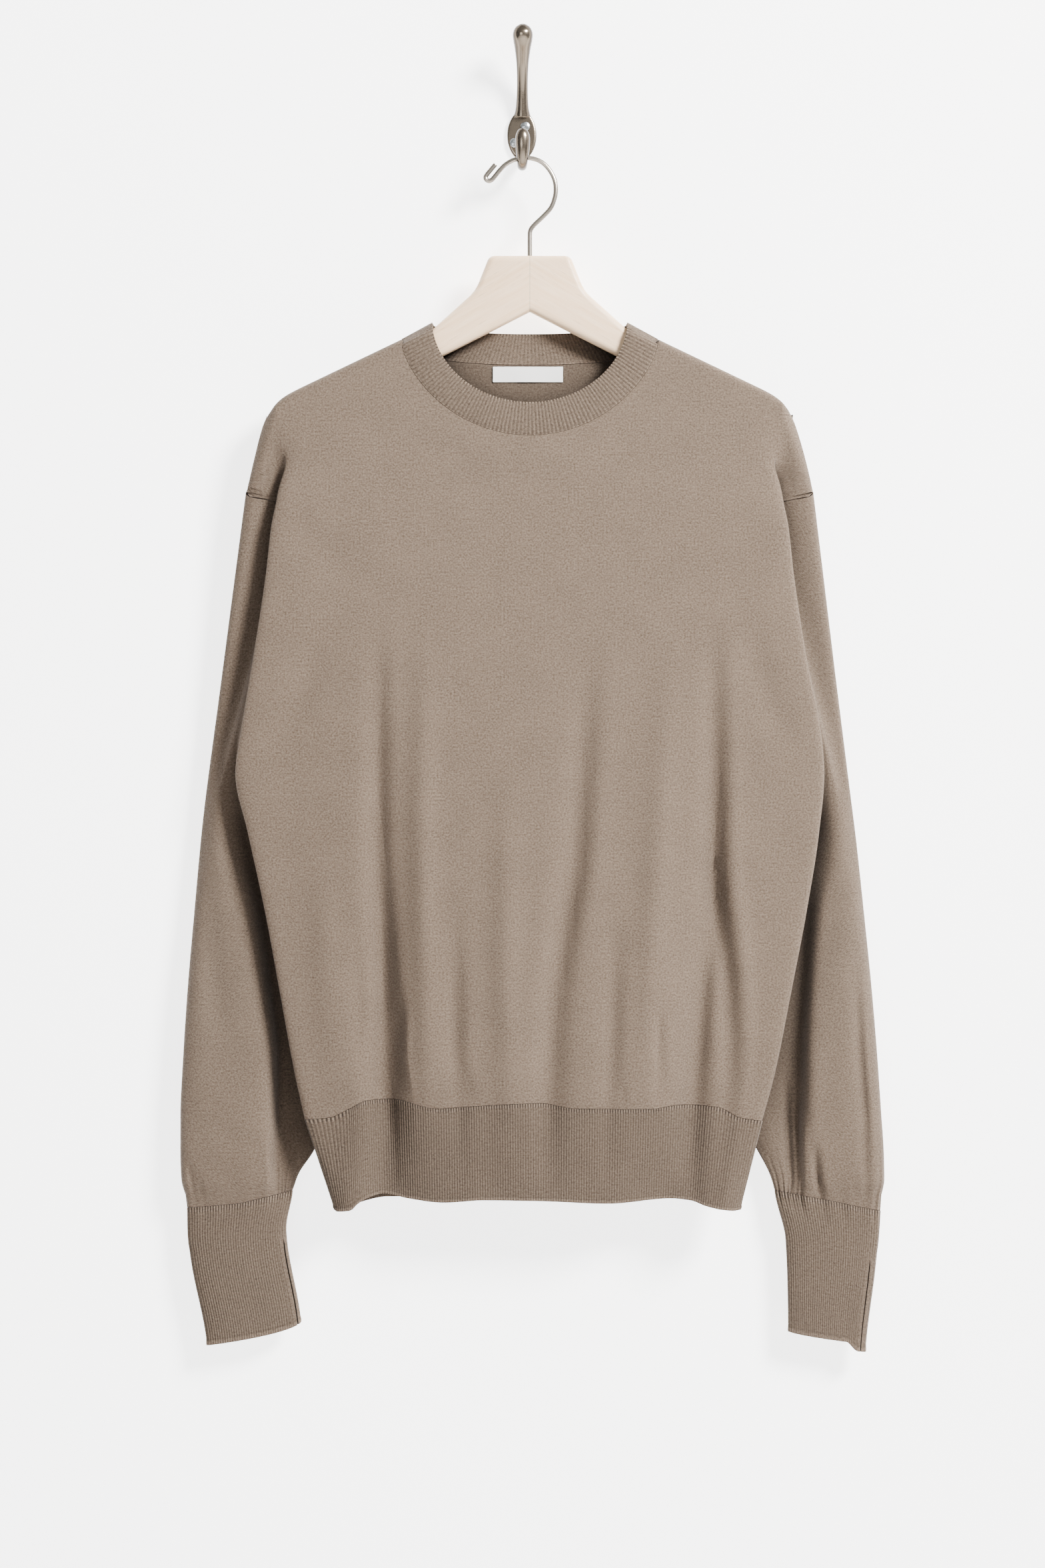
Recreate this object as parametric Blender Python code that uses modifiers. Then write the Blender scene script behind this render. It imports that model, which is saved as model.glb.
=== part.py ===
"""Crewneck sweater on a wooden hanger, which hangs from a small hook on a wall.

Lengths in the tables are millimetres. A point of the garment is given by
across (from its centre line, right in front view), off (distance off the wall)
and drop (distance below the middle of the wall hook's plate, the origin).
"""
import math

import bmesh
import bpy
from mathutils import Vector

MM = 0.001
CENTRE = 6.0            # the hanger hangs this far right of the wall plate
KNIT = 1.5              # wall of the plain knit
RIB_WALL = 1.8          # wall of the ribbed bands, under their ribs
RIB_RISE = 0.7          # how far a rib stands out of its band
SEAM = 0.3              # gap between two pieces that are sewn together
UNDERARM_GAP = 0.8      # added to it at the underarm
TIP_GAP = 1.2           # the same at the shoulder's corner, and where the sleeve joins it

RIDGE_OFF = 28.0        # plane of the hanger, off the wall


class Table:
    """Rows of named columns, read between the rows on a smooth curve."""

    def __init__(self, names, rows):
        self.keys = [row[0] for row in rows]
        self.columns = {name: [row[i] for row in rows] for i, name in enumerate(names)}

    def read(self, name, at):
        keys, values = self.keys, self.columns[name]
        at = min(max(at, keys[0]), keys[-1])
        i = max(k for k in range(len(keys) - 1) if keys[k] <= at)
        slopes = [(values[k + 1] - values[k]) / (keys[k + 1] - keys[k]) for k in range(len(keys) - 1)]

        def tangent(k):
            if k == 0 or k == len(slopes):
                return slopes[min(k, len(slopes) - 1)]
            before, after = slopes[k - 1], slopes[k]
            return 0.0 if before * after <= 0 else 2 * before * after / (before + after)

        span = keys[i + 1] - keys[i]
        t = (at - keys[i]) / span
        rise = 3 * t * t - 2 * t ** 3
        return (values[i] + (values[i + 1] - values[i]) * rise
                + span * (tangent(i) * (t ** 3 - 2 * t * t + t) + tangent(i + 1) * (t ** 3 - t * t)))


# Body and sleeve cap, by height. fold: edge of the front panel where it turns
# back. outer: outline of the sleeve behind it. mid and side: the front's
# distance off the wall in the middle and near the fold. rear, tip: the layer
# behind the fold and its outer edge. pleat: 0 flat to 1 folded. seam: place of
# the armhole or side seam along the turned-back edge (see edge_points).
FRONT = Table(
    ("drop", "fold_left", "fold_right", "outer_left", "outer_right",
     "mid", "side", "rear", "tip", "pleat", "seam"), (
        (216, 189.0, 189.0, 198.0, 197.2, 38.0, 38.0, 37.0, 28.8, 0.00, 8.0),
        (226, 189.0, 189.0, 201.8, 201.0, 38.1, 38.1, 36.3, 28.2, 0.06, 8.0),
        (250, 188.5, 189.0, 208.2, 208.2, 38.5, 38.5, 34.0, 26.0, 0.35, 8.0),
        (270, 190.0, 190.0, 213.0, 213.0, 39.0, 40.0, 31.0, 24.0, 0.75, 8.0),
        (281, 191.0, 191.0, 216.0, 215.0, 39.5, 41.0, 29.5, 22.5, 0.90, 5.3),
        (300, 194.5, 194.5, 220.0, 218.0, 40.0, 42.0, 27.5, 20.0, 1.00, 4.3),
        (336, 198.5, 198.5, 224.5, 222.0, 41.5, 42.5, 25.5, 17.0, 1.00, 4.1),
        (396, 207.5, 207.5, 232.0, 229.0, 44.0, 43.0, 24.0, 15.0, 1.00, 4.0),
        (456, 217.5, 219.0, 240.0, 237.0, 47.0, 42.5, 23.0, 14.5, 1.00, 3.4),
        (486, 221.5, 221.5, 243.5, 241.0, 48.0, 42.0, 23.0, 14.0, 1.00, 2.8),
        (531, 212.0, 217.5, 249.0, 247.0, 50.0, 42.0, 23.0, 14.0, 1.00, 2.8),
        (591, 199.0, 208.0, 254.5, 253.5, 52.0, 42.0, 23.0, 14.0, 1.00, 2.8),
        (651, 188.0, 196.5, 259.5, 260.0, 54.0, 42.0, 23.0, 14.0, 1.00, 2.8),
        (711, 177.0, 184.5, 262.5, 264.0, 54.0, 42.0, 23.0, 14.0, 1.00, 2.8),
        (750, 168.5, 174.0, 264.5, 266.0, 51.0, 41.0, 23.0, 14.0, 1.00, 2.8),
    ))

# Back panel, by height. edge: where it ends, edge_off: how far off the wall.
BACK = Table(
    ("drop", "edge_left", "edge_right", "edge_off", "side", "mid"), (
        (216, 198.0, 197.2, 27.7, 19.0, 19.0),
        (250, 208.2, 208.2, 25.7, 18.0, 18.0),
        (270, 213.0, 213.0, 23.7, 17.0, 17.0),
        (281, 194.0, 194.0, 16.3, 16.0, 16.0),
        (300, 188.0, 188.0, 14.8, 14.8, 15.0),
        (336, 187.5, 187.0, 13.8, 14.4, 13.5),
        (396, 193.5, 193.0, 16.0, 16.5, 12.5),
        (441, 203.0, 203.0, 20.5, 20.0, 12.0),
        (473, 212.0, 213.0, 27.0, 24.6, 12.0),
        (486, 217.4, 217.4, 34.8, 26.8, 12.0),
        (531, 207.9, 213.4, 34.8, 29.2, 12.0),
        (591, 194.9, 203.9, 34.8, 29.5, 12.0),
        (651, 183.9, 192.4, 34.8, 29.5, 13.0),
        (711, 172.9, 180.4, 34.8, 29.5, 15.0),
        (750, 164.4, 169.9, 34.0, 29.0, 18.0),
    ))
BACK_FLAT = 36.0        # the back is flat this far from the middle,
BACK_RISEN = 150.0      # and clear of the sleeves behind it from here on

# Troughs of the front, from where they start down to the hem.
FOLDS = (
    # across at the start, across at the hem, drop at the start, half width, depth
    (-104.0, -105.0, 400.0, 15.0, 13.0),
    (54.0, 20.0, 330.0, 12.0, 6.0),
    (146.0, 124.0, 400.0, 15.0, 11.0),
)

# Top outline: the shoulders slope from the neck and round off at their ends.
RIDGE_TOP = 112.5
RIDGE_SLOPE = 0.479
SHOULDER_ROUND = 160.0
SHOULDER_END = 197.8
SHOULDER_FALL = 9.8
RIDGE_ROUND = (0.0, 0.55, 1.9, 6.0)    # rows over the rounded top of the shoulder
RIDGE_REACH = 6.0
RIDGE_GAP = 0.25        # from the shoulder seam's plane to each panel's edge

NECK_HALF = 97.0        # seam of the neckband: half its width, its highest point,
NECK_TOP = 158.8        # and how far it drops in front and at the back
NECK_FRONT_DROP = 73.0
NECK_BACK_DROP = 18.4
NECK_TURNS = (0, 16, 32, 47, 60, 71, 81)    # places along the seam from its middle, degrees
BAND_HALF = 73.5        # inner edge of the neckband
BAND_TOP = 146.0
BAND_FRONT_DROP = 60.9
BAND_BACK_DROP = 7.4
BAND_FRONT_OFF = 39.0
BAND_BACK_OFF = 18.6
BAND_RIBS = 164

ARMHOLE = (270, 281, 300, 336, 366, 396, 426, 456, 473, 486)
FRONT_ROWS = ARMHOLE + (531, 576, 621, 666, 705)
BACK_ROWS = ARMHOLE + (560, 640, 705)
FRONT_EDGE_PLACES = (0.0, 0.15, 0.3, 0.45, 0.6, 0.7, 0.81, 0.93, 1.0)    # columns over the fold
BACK_EDGE_PLACES = (0.0, 1 / 3, 2 / 3, 1.0)
SHOULDER_COLUMNS = 3

# Seam between body and hem rib, and the hem's lower edge, across the front.
HEM_SEAM = Table(("across", "drop"), (
    (-170, 746.0), (-152, 744.5), (-136, 738.0), (-120, 731.5), (-100, 731.0),
    (-70, 737.0), (-40, 735.0), (5, 733.0), (35, 737.0), (90, 737.5),
    (110, 735.0), (140, 736.5), (160, 744.5), (176, 747.0)))
HEM_SEAM_BACK = 738.0
HEM_MIDDLE = 738.0
HEM_EDGE = Table(("seam", "across", "off", "drop"), (
    (-168.5, -146.2, 42.0, 813.5), (-160, -144.0, 46.0, 814.5), (-137, -134.0, 50.0, 813.5),
    (-132, -129.5, 49.0, 809.0), (-124, -121.5, 45.5, 804.2), (-112, -110.0, 41.0, 801.5),
    (-92, -90.0, 45.0, 805.0), (-66, -65.0, 50.0, 807.5), (-36, -35.0, 52.5, 805.5),
    (6, 6.0, 53.0, 806.0), (60, 59.0, 52.0, 808.0), (108, 105.0, 43.0, 805.0),
    (126, 121.0, 44.0, 806.5), (140, 132.5, 48.0, 810.5), (155, 144.0, 49.5, 813.0),
    (166, 153.0, 46.0, 814.0), (174, 157.6, 42.0, 813.5)))
HEM_ENDS = {-1: (-147.0, 37.0, 813.0), 1: (158.5, 37.0, 813.0)}
FOLD_SHARE = 1.48       # share of the front at which it turns back
HEM_BACK_OFF = 17.0
HEM_BACK_DROP = 806.0
HEM_RIBS = 348

# Sleeves below the armhole, by height. step: where the front layer falls back
# to the part that hangs behind the body.
SLEEVE = Table(
    ("drop", "outer_left", "outer_right", "inner_left", "inner_right", "inner_off",
     "step_left", "step_right", "recess", "front", "tip", "back"), (
        (500, 245.5, 243.0, 216.5, 216.5, 23.5, 225.5, 225.5, 29.0, 28.0, 14.5, 8.0),
        (531, 249.0, 247.0, 205.0, 207.0, 19.5, 216.0, 217.0, 24.0, 25.0, 14.0, 7.0),
        (591, 254.5, 253.5, 171.0, 176.0, 14.5, 200.0, 207.0, 18.5, 26.0, 14.0, 6.5),
        (651, 259.5, 259.5, 144.0, 148.0, 12.5, 192.0, 203.0, 15.5, 27.0, 14.5, 6.0),
        (700, 262.5, 263.5, 139.0, 143.0, 12.0, 191.0, 203.0, 14.5, 28.0, 15.0, 6.0),
        (745, 264.5, 266.5, 152.0, 157.0, 12.5, 192.0, 203.5, 15.5, 29.0, 15.5, 6.0),
        (772, 264.5, 268.2, 163.5, 172.5, 13.5, 192.5, 203.5, 17.0, 30.0, 16.0, 6.5),
        (793, 263.8, 268.6, 175.5, 182.0, 15.0, 193.0, 204.0, 19.0, 29.0, 16.5, 7.5),
        (809, 259.5, 265.5, 179.9, 186.0, 15.5, 193.0, 203.0, 19.5, 25.0, 16.5, 9.0),
    ))
SLEEVE_ROWS = (500, 531, 576, 621, 666, 711, 751, 776, 795, 809)
SLEEVE_LIFT = 4         # rows between the armhole and the first whole ring
CUFF_SEAM = Table(("side", "inner", "middle", "outer"), ((-1, 801.5, 811.0, 814.5), (1, 801.5, 808.5, 817.0)))
CUFF_EDGE = Table(
    ("side", "inner", "outer", "inner_drop", "outer_drop", "slit_inner", "slit_outer"), (
        (-1, 173.5, 244.5, 901.0, 919.0, 184.5, 257.5), (1, 196.3, 254.2, 908.5, 924.0, 194.0, 262.6)))
CUFF_HALF_DEPTH = 6.5
CUFF_OFF = 16.5
CUFF_RIBS = 80
CUFF_SLIT_TOP = 0.32    # the slit starts at this share of the cuff's length
CUFF_SLIT_GAP = 1.2
CUFF_SLIT_AT = {-1: 0, 1: 7}    # column of the sleeve that the slit lies on

LABEL = {"across": -1.4, "width": 53.0, "height": 11.6, "thick": 0.6}


def place(across, off, drop):
    return Vector(((CENTRE + across) * MM, -off * MM, -drop * MM))


def mix(a, b, t):
    return a + (b - a) * t


def ease(t):
    t = min(max(t, 0.0), 1.0)
    return t * t * (3 - 2 * t)


def through(points, at, closed=False):
    """A point of the smooth curve through points; at is 2.5 halfway from 2 to 3."""
    count = len(points)
    if not closed:
        at = min(max(at, 0.0), count - 1.0)
        first = min(int(at), count - 2)
        near = [points[min(max(first + k, 0), count - 1)] for k in (-1, 0, 1, 2)]
    else:
        first = int(math.floor(at))
        near = [points[(first + k) % count] for k in (-1, 0, 1, 2)]
    t = at - first
    return tuple(
        b + 0.5 * t * (c - a + t * (2 * a - 5 * b + 4 * c - d + t * (3 * (b - c) + d - a)))
        for a, b, c, d in zip(*near))


# ---------------------------------------------------------------- body

def ridge_drop(across):
    """Height of the shoulder line's outer face."""
    out = abs(across)
    end = min(max(0.0, (out - SHOULDER_ROUND) / (SHOULDER_END - SHOULDER_ROUND)), 1.0)
    return RIDGE_TOP + RIDGE_SLOPE * out + SHOULDER_FALL * end ** 6


def over_ridge(across, drop, off):
    """Bend a panel's distance off the wall to the hanger's plane at the top."""
    below = (drop - ridge_drop(across)) / RIDGE_REACH
    if below >= 1:
        return off
    reach = (1 - (1 - max(below, 0.0)) ** 3) ** (1 / 3)
    return mix(RIDGE_OFF + math.copysign(RIDGE_GAP, off - RIDGE_OFF), off, reach)


def edge_points(side, drop):
    """Curve of the front's side edge: over the fold, behind it and out again."""
    name = "left" if side < 0 else "right"
    fold, outer = FRONT.read("fold_" + name, drop), FRONT.read("outer_" + name, drop)
    front, rear, tip = (FRONT.read(key, drop) for key in ("side", "rear", "tip"))
    folded = ((fold - 22, front), (fold - 4.5, front - 0.8), (fold, front - 4), (fold - 5, front - 7.5),
              (fold - 16, front - 10.5), (fold - 7, front - 15), (outer - 6, rear),
              (outer - 0.15, tip + 3), (outer, tip))
    pleat = ease(FRONT.read("pleat", drop))
    start, end = folded[0], folded[6]
    flat = [(mix(start[0], end[0], k / 6), mix(start[1], end[1], (k / 6) ** 2)) for k in range(7)]
    flat += folded[7:]
    return [(mix(a[0], b[0], pleat), mix(a[1], b[1], pleat)) for a, b in zip(flat, folded)]


def front_point(side, share, drop):
    """share 0 to 1 runs from the centre line to the fold, 1 to 2 to the seam."""
    edge = edge_points(side, drop)
    if share <= 1:
        across = edge[0][0] * share
        bulge = FRONT.read("mid", drop) - edge[0][1]
        off = edge[0][1] + bulge * (1 - share ** 2) ** 1.5 * (1 + 0.5 * share ** 2)
        off -= trough(side * across, drop)
        return side * across, over_ridge(side * across, drop, off)
    seam = FRONT.read("seam", drop)
    knee = min(2.5, seam)
    t = (share - 1) / 0.6
    at = knee * t if t <= 1 else mix(knee, seam, (share - 1.6) / 0.4)
    across, off = through(edge, at)
    return side * across, over_ridge(side * across, drop, off)


def trough(across, drop):
    depth = 0.0
    for start, end, top, half, deep in FOLDS:
        t = (drop - top) / (740 - top)
        if t > 0:
            middle = mix(start, end, min(t, 1.0))
            depth += deep * ease(t) * math.exp(-((across - middle) / half) ** 2)
    return depth


def back_edge(side, drop):
    """Where the back ends: on the front's edge, but for the armhole."""
    if ARMHOLE[0] < drop < ARMHOLE[-1]:
        name = "edge_left" if side < 0 else "edge_right"
        return BACK.read(name, drop), BACK.read("edge_off", drop)
    across, off = front_point(side, 2.0, drop)
    tip = max(1 - ease((drop - 220) / 20), ease((drop - 240) / 30)) if drop <= ARMHOLE[0] else 0.0
    return abs(across), off - mix(SEAM, TIP_GAP, tip)


def back_point(side, share, drop):
    """share 0 to 1 runs from the centre line towards the edge, 1 to 2 to it."""
    edge, edge_off = back_edge(side, max(drop, FRONT.keys[0]))
    near, mid = BACK.read("side", drop), BACK.read("mid", drop)
    inner = edge - 22
    if share <= 1:
        across = inner * share
        off = mix(mid, near, ease((across - BACK_FLAT) / (BACK_RISEN - BACK_FLAT)))
    else:
        upright = ease((edge_off - near) / 6)
        rise = (edge - 6, mix(near, edge_off, 0.3)), (edge - mix(2.0, 0.15, upright), edge_off - 3 * upright)
        across, off = through(((inner, near), *rise, (edge, edge_off)), 3 * (share - 1))
    return side * across, over_ridge(side * across, drop, off)


def neck_seam(turn):
    """Neck seam at an angle: front from -90 to 90 degrees, back from 90 to 270."""
    across = NECK_HALF * math.sin(turn)
    low = math.cos(turn)
    if low >= 0:
        return across, NECK_TOP + NECK_FRONT_DROP * low ** 1.25
    return across, NECK_TOP + NECK_BACK_DROP * (-low) ** 0.7


def panel_columns(point, side_places, back=False):
    """Columns of a panel, left to right: (side, share, drop at the neck seam)."""
    columns = []
    top = FRONT.keys[0]
    for side in (-1, 1):
        half = []
        for degrees in NECK_TURNS:
            across, drop = neck_seam(math.radians(180 - degrees if back else degrees))
            half.append((side, across / abs(point(side, 1.0, top)[0]), drop))
        neck_share = NECK_HALF / abs(point(side, 1.0, top)[0])
        for k in range(SHOULDER_COLUMNS):
            half.append((side, mix(neck_share, 1.0, k / SHOULDER_COLUMNS), None))
        half += [(side, 1 + p, None) for p in side_places]
        if side < 0:
            columns = half[::-1]
        else:
            columns += half[1:]
    return columns


def hem_seam(across, front):
    drop = HEM_SEAM.read("drop", across)
    if front:
        return drop
    return mix(HEM_SEAM_BACK, drop, ease((abs(across) - 120) / 45))


def panel_rows(point, columns, rows, front):
    """Grid of a panel: over the shoulder, down to the armhole, down to the hem."""
    tops = []
    for side, share, drop in columns:
        across = point(side, share, FRONT.keys[0])[0]
        tops.append(ridge_drop(across) if drop is None else drop)
    heights = [[drop + ridge for drop in tops] for ridge in RIDGE_ROUND]
    heights.append([mix(drop, ARMHOLE[0], 0.5) for drop in heights[-1]])
    heights += [[drop] * len(columns) for drop in rows]
    heights.append([hem_seam(point(side, share, HEM_MIDDLE)[0], front) for side, share, _ in columns])
    return [[(*point(side, share, drop), drop) for (side, share, _), drop in zip(columns, line)]
            for line in heights]


# ---------------------------------------------------------------- sleeves

def sleeve_ring(side, drop):
    name = "left" if side < 0 else "right"
    outer, inner = SLEEVE.read("outer_" + name, drop), SLEEVE.read("inner_" + name, drop)
    step = SLEEVE.read("step_" + name, drop)
    front, recess = SLEEVE.read("front", drop), SLEEVE.read("recess", drop)
    back, tip = SLEEVE.read("back", drop), SLEEVE.read("tip", drop)
    inner_off = SLEEVE.read("inner_off", drop)
    return [
        (inner, inner_off), (mix(inner, step - 4, 0.45), mix(inner_off, recess, 0.9)),
        (step - 4, recess + 0.5), (step + 9, front - 0.8), (outer - 9, front - 2.5), (outer, tip),
        (outer - 10, back + 0.6), (mix(inner, outer, 0.52), back),
        (mix(inner, outer, 0.15), mix(back, inner_off, 0.3)),
    ]


def sleeve_grid(side):
    """Rows of a closed tube: the armhole loop first, the cuff seam last."""
    steps = len(ARMHOLE) - 1
    loop = []
    for drop in reversed(ARMHOLE):
        across, off = front_point(side, 2.0, drop)
        behind = ease((drop - 396) / 60)
        outward = SEAM * (1 - 0.5 * behind) if drop > ARMHOLE[0] else 0.0
        loop.append((abs(across) + outward, off - SEAM * mix(0.33, 1.0, behind), drop + SEAM))
    for drop in ARMHOLE[1:-1]:
        across, off = back_point(side, 2.0, drop)
        loop.append((abs(across) + SEAM + UNDERARM_GAP * ease((drop - 441) / 30), off, drop + SEAM))
    loop[0] = (loop[0][0] + UNDERARM_GAP, loop[0][1] - SEAM / 2, loop[0][2] + SEAM)
    places = [5 * k / steps for k in range(steps)] + [5 + 4 * k / steps for k in range(steps)]

    def ring(drop):
        return [through(sleeve_ring(side, drop), at, closed=True) for at in places]

    grid = [loop]
    first = ring(SLEEVE_ROWS[0])
    for k in range(1, SLEEVE_LIFT + 1):
        t = k / (SLEEVE_LIFT + 1)
        row = []
        for (a_top, o_top, d_top), (a_low, o_low), at in zip(loop, first, places):
            ahead = 1 - ease((at - 1.5) / 3)
            beside = max(a_top, a_low) + 3 + 4 * math.sin(math.pi * min(at, 3) / 3)
            straight = mix(mix(a_top, a_low, 0.5), max(a_top, a_low) + 1, ease(at - 7.5))
            bend = (mix(straight, beside, ahead), mix(o_top, o_low, 0.5 - 0.5 * ahead),
                    mix(d_top, SLEEVE_ROWS[0], 0.5 - 0.15 * ahead))
            ends = (a_top, o_top, d_top), (a_low, o_low, SLEEVE_ROWS[0])
            row.append(tuple(mix(mix(a, b, t), mix(b, c, t), t) for a, b, c in zip(ends[0], bend, ends[1])))
        grid.append(row)
    for drop in SLEEVE_ROWS[:-1]:
        grid.append([(across, off, drop) for across, off in ring(drop)])
    last = []
    seam = {key: CUFF_SEAM.read(key, side) for key in ("inner", "middle", "outer")}
    low, high = ring(809)[0][0], max(p[0] for p in ring(809))
    for across, off in ring(809):
        t = (across - low) / (high - low)
        drop = mix(mix(seam["inner"], seam["middle"], min(2 * t, 1)), seam["outer"], max(2 * t - 1, 0))
        last.append((across, off, drop))
    grid.append(last)
    return [[(side * across, off, drop) for across, off, drop in row] for row in grid]


def parted(row, towards):
    """A panel's last row, moved by the seam's gap towards the next row."""
    return [tuple(Vector(a) + (Vector(b) - Vector(a)).normalized() * SEAM) for a, b in zip(row, towards)]


def cuff_rows(side, sleeve):
    """Rows of a cuff, from the sleeve's last row to the cuff's lower edge."""
    top = sleeve[-1]
    inner, outer = CUFF_EDGE.read("inner", side), CUFF_EDGE.read("outer", side)
    drops = CUFF_EDGE.read("inner_drop", side), CUFF_EDGE.read("outer_drop", side)
    count = len(top)
    bottom = []
    for k in range(count):
        turn = 2 * math.pi * k / count
        share = (1 - math.cos(turn)) / 2
        bulge = abs(math.sin(turn)) ** 0.7 * math.copysign(1, math.sin(turn))
        bottom.append((side * mix(inner, outer, share), CUFF_OFF + CUFF_HALF_DEPTH * bulge,
                       mix(*drops, share)))
    top = parted(top, bottom)
    middle = [tuple(mix(p, q, CUFF_SLIT_TOP) for p, q in zip(a, b)) for a, b in zip(top, bottom)]
    low, high = min(side * p[0] for p in middle), max(side * p[0] for p in middle)
    near, far = CUFF_EDGE.read("slit_inner", side), CUFF_EDGE.read("slit_outer", side)
    middle = [(side * mix(near, far, (side * p[0] - low) / (high - low)), *p[1:]) for p in middle]
    start = CUFF_SLIT_AT[side]
    return [row[start:] + row[:start] for row in (top, middle, bottom)]


# ---------------------------------------------------------------- meshes

def new_object(name, points, faces, material, smooth=True):
    mesh = bpy.data.meshes.new(name)
    mesh.from_pydata(points, [], faces)
    mesh.update()
    if smooth:
        mesh.shade_smooth()
    obj = bpy.data.objects.new(name, mesh)
    parts.objects.link(obj)
    obj.data.materials.append(material)
    return obj


def cloth(name, grid, material, closed=False):
    """Knit wall whose outer face runs through the grid's rows."""
    points = [place(*p) for row in grid for p in row]
    width = len(grid[0])
    faces = []
    for r in range(len(grid) - 1):
        for c in range(width if closed else width - 1):
            d = (c + 1) % width
            faces.append((r * width + c, (r + 1) * width + c, (r + 1) * width + d, r * width + d))
    obj = new_object(name, points, faces, material)
    wall = obj.modifiers.new("wall", "SOLIDIFY")
    wall.thickness = KNIT * MM
    wall.offset = -1
    return obj


def resample(rows, count):
    """Even places round the first row, at the same places on the others."""
    closed = [row + [row[0]] for row in rows]
    lengths = [0.0]
    for a, b in zip(closed[0], closed[0][1:]):
        lengths.append(lengths[-1] + (b - a).length)
    result = [[] for _ in rows]
    segment = 0
    for k in range(count):
        at = lengths[-1] * k / count
        while lengths[segment + 1] < at:
            segment += 1
        t = (at - lengths[segment]) / (lengths[segment + 1] - lengths[segment])
        for line, out in zip(closed, result):
            out.append(line[segment].lerp(line[segment + 1], t))
    return result


def ribbed(name, rows, ribs, material, slit=None):
    """Band with ribs raised on its outer face over a plain inner face.

    rows run from one edge to the other. A slit splits the band at its first
    column, below the row with that number.
    """
    count = ribs * 2
    base = resample([[place(*p) for p in row] for row in rows], count)
    last = len(base) - 1
    outer, inner = [], []
    for r, row in enumerate(base):
        out_row, in_row = [], []
        down = [base[min(r + 1, last)][c] - base[max(r - 1, 0)][c] for c in range(count)]
        for c in range(count):
            along = row[(c + 2) % count] - row[c - 2]
            normal = down[c].cross(along).normalized()
            out_row.append(row[c] + normal * (RIB_RISE * MM if c % 2 else 0.0))
            in_row.append(row[c] - normal * RIB_WALL * MM)
        outer.append(out_row)
        inner.append(in_row[::4])
    open_rows = [slit is not None and r > slit for r in range(last + 1)]
    points, outer_id, inner_id = [], [], []
    for r in range(last + 1):
        for source, ids, step in ((outer[r], outer_id, 1), (inner[r], inner_id, 4)):
            line = list(range(len(points), len(points) + len(source)))
            points.extend(source)
            if open_rows[r]:
                shift = (base[r][1] - base[r][-1]).normalized() * CUFF_SLIT_GAP / 2 * MM
                line.append(len(points))
                points.append(source[0] - shift)
                points[line[0]] = source[0] + shift
            else:
                line.append(line[0])
            ids.append(line)
    faces = []
    for r in range(last):
        for c in range(count):
            faces.append((outer_id[r][c], outer_id[r + 1][c], outer_id[r + 1][c + 1], outer_id[r][c + 1]))
        for c in range(count // 4):
            faces.append((inner_id[r][c + 1], inner_id[r + 1][c + 1], inner_id[r + 1][c], inner_id[r][c]))
        if open_rows[r + 1]:
            faces.append((outer_id[r][0], inner_id[r][0], inner_id[r + 1][0], outer_id[r + 1][0]))
            faces.append((outer_id[r][-1], outer_id[r + 1][-1], inner_id[r + 1][-1], inner_id[r][-1]))
    for c in range(count // 4):
        run = range(4 * c, 4 * c + 5)
        faces.append([outer_id[0][k] for k in run] + [inner_id[0][c + 1], inner_id[0][c]])
        faces.append([outer_id[last][k] for k in reversed(run)] + [inner_id[last][c], inner_id[last][c + 1]])
    return new_object(name, points, faces, material, smooth=False)


# ---------------------------------------------------------------- materials

def surface(name, colour, roughness, metallic=0.0):
    material = bpy.data.materials.new(name)
    material.use_nodes = True
    shader = material.node_tree.nodes["Principled BSDF"]
    shader.inputs["Base Color"].default_value = (*colour, 1.0)
    shader.inputs["Roughness"].default_value = roughness
    shader.inputs["Metallic"].default_value = metallic
    return material


# ---------------------------------------------------------------- hanger and hooks

def smooth_curve(name, points, radius, material, sides=2, radii=None, steps=1):
    """Round bar along the smooth curve through points given in metres."""
    data = bpy.data.curves.new(name, "CURVE")
    data.dimensions = "3D"
    data.bevel_depth = radius
    data.bevel_resolution = sides
    data.use_fill_caps = True
    spline = data.splines.new("POLY")
    places = [k / steps for k in range((len(points) - 1) * steps + 1)]
    spline.points.add(len(places) - 1)
    for target, at in zip(spline.points, places):
        target.co = (*through(points, at), 1.0)
        if radii:
            target.radius = through([(r,) for r in radii], at)[0]
    obj = bpy.data.objects.new(name, data)
    parts.objects.link(obj)
    obj.data.materials.append(material)
    return obj


def as_mesh(obj, target):
    """Replace a curve object by a welded mesh object."""
    bpy.context.view_layer.update()
    depsgraph = bpy.context.evaluated_depsgraph_get()
    mesh = bpy.data.meshes.new_from_object(obj.evaluated_get(depsgraph))
    work = bmesh.new()
    work.from_mesh(mesh)
    bmesh.ops.remove_doubles(work, verts=work.verts, dist=1e-6)
    work.to_mesh(mesh)
    work.free()
    name = obj.name
    solid = bpy.data.objects.new(name + "_solid", mesh)
    solid.matrix_world = obj.matrix_world
    target.objects.link(solid)
    bpy.data.objects.remove(obj)
    solid.name = name
    return solid


def combine(obj, other, operation):
    change = obj.modifiers.new(operation.lower(), "BOOLEAN")
    change.operation = operation
    change.object = other
    other.hide_render = True
    other.display_type = "WIRE"


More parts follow.
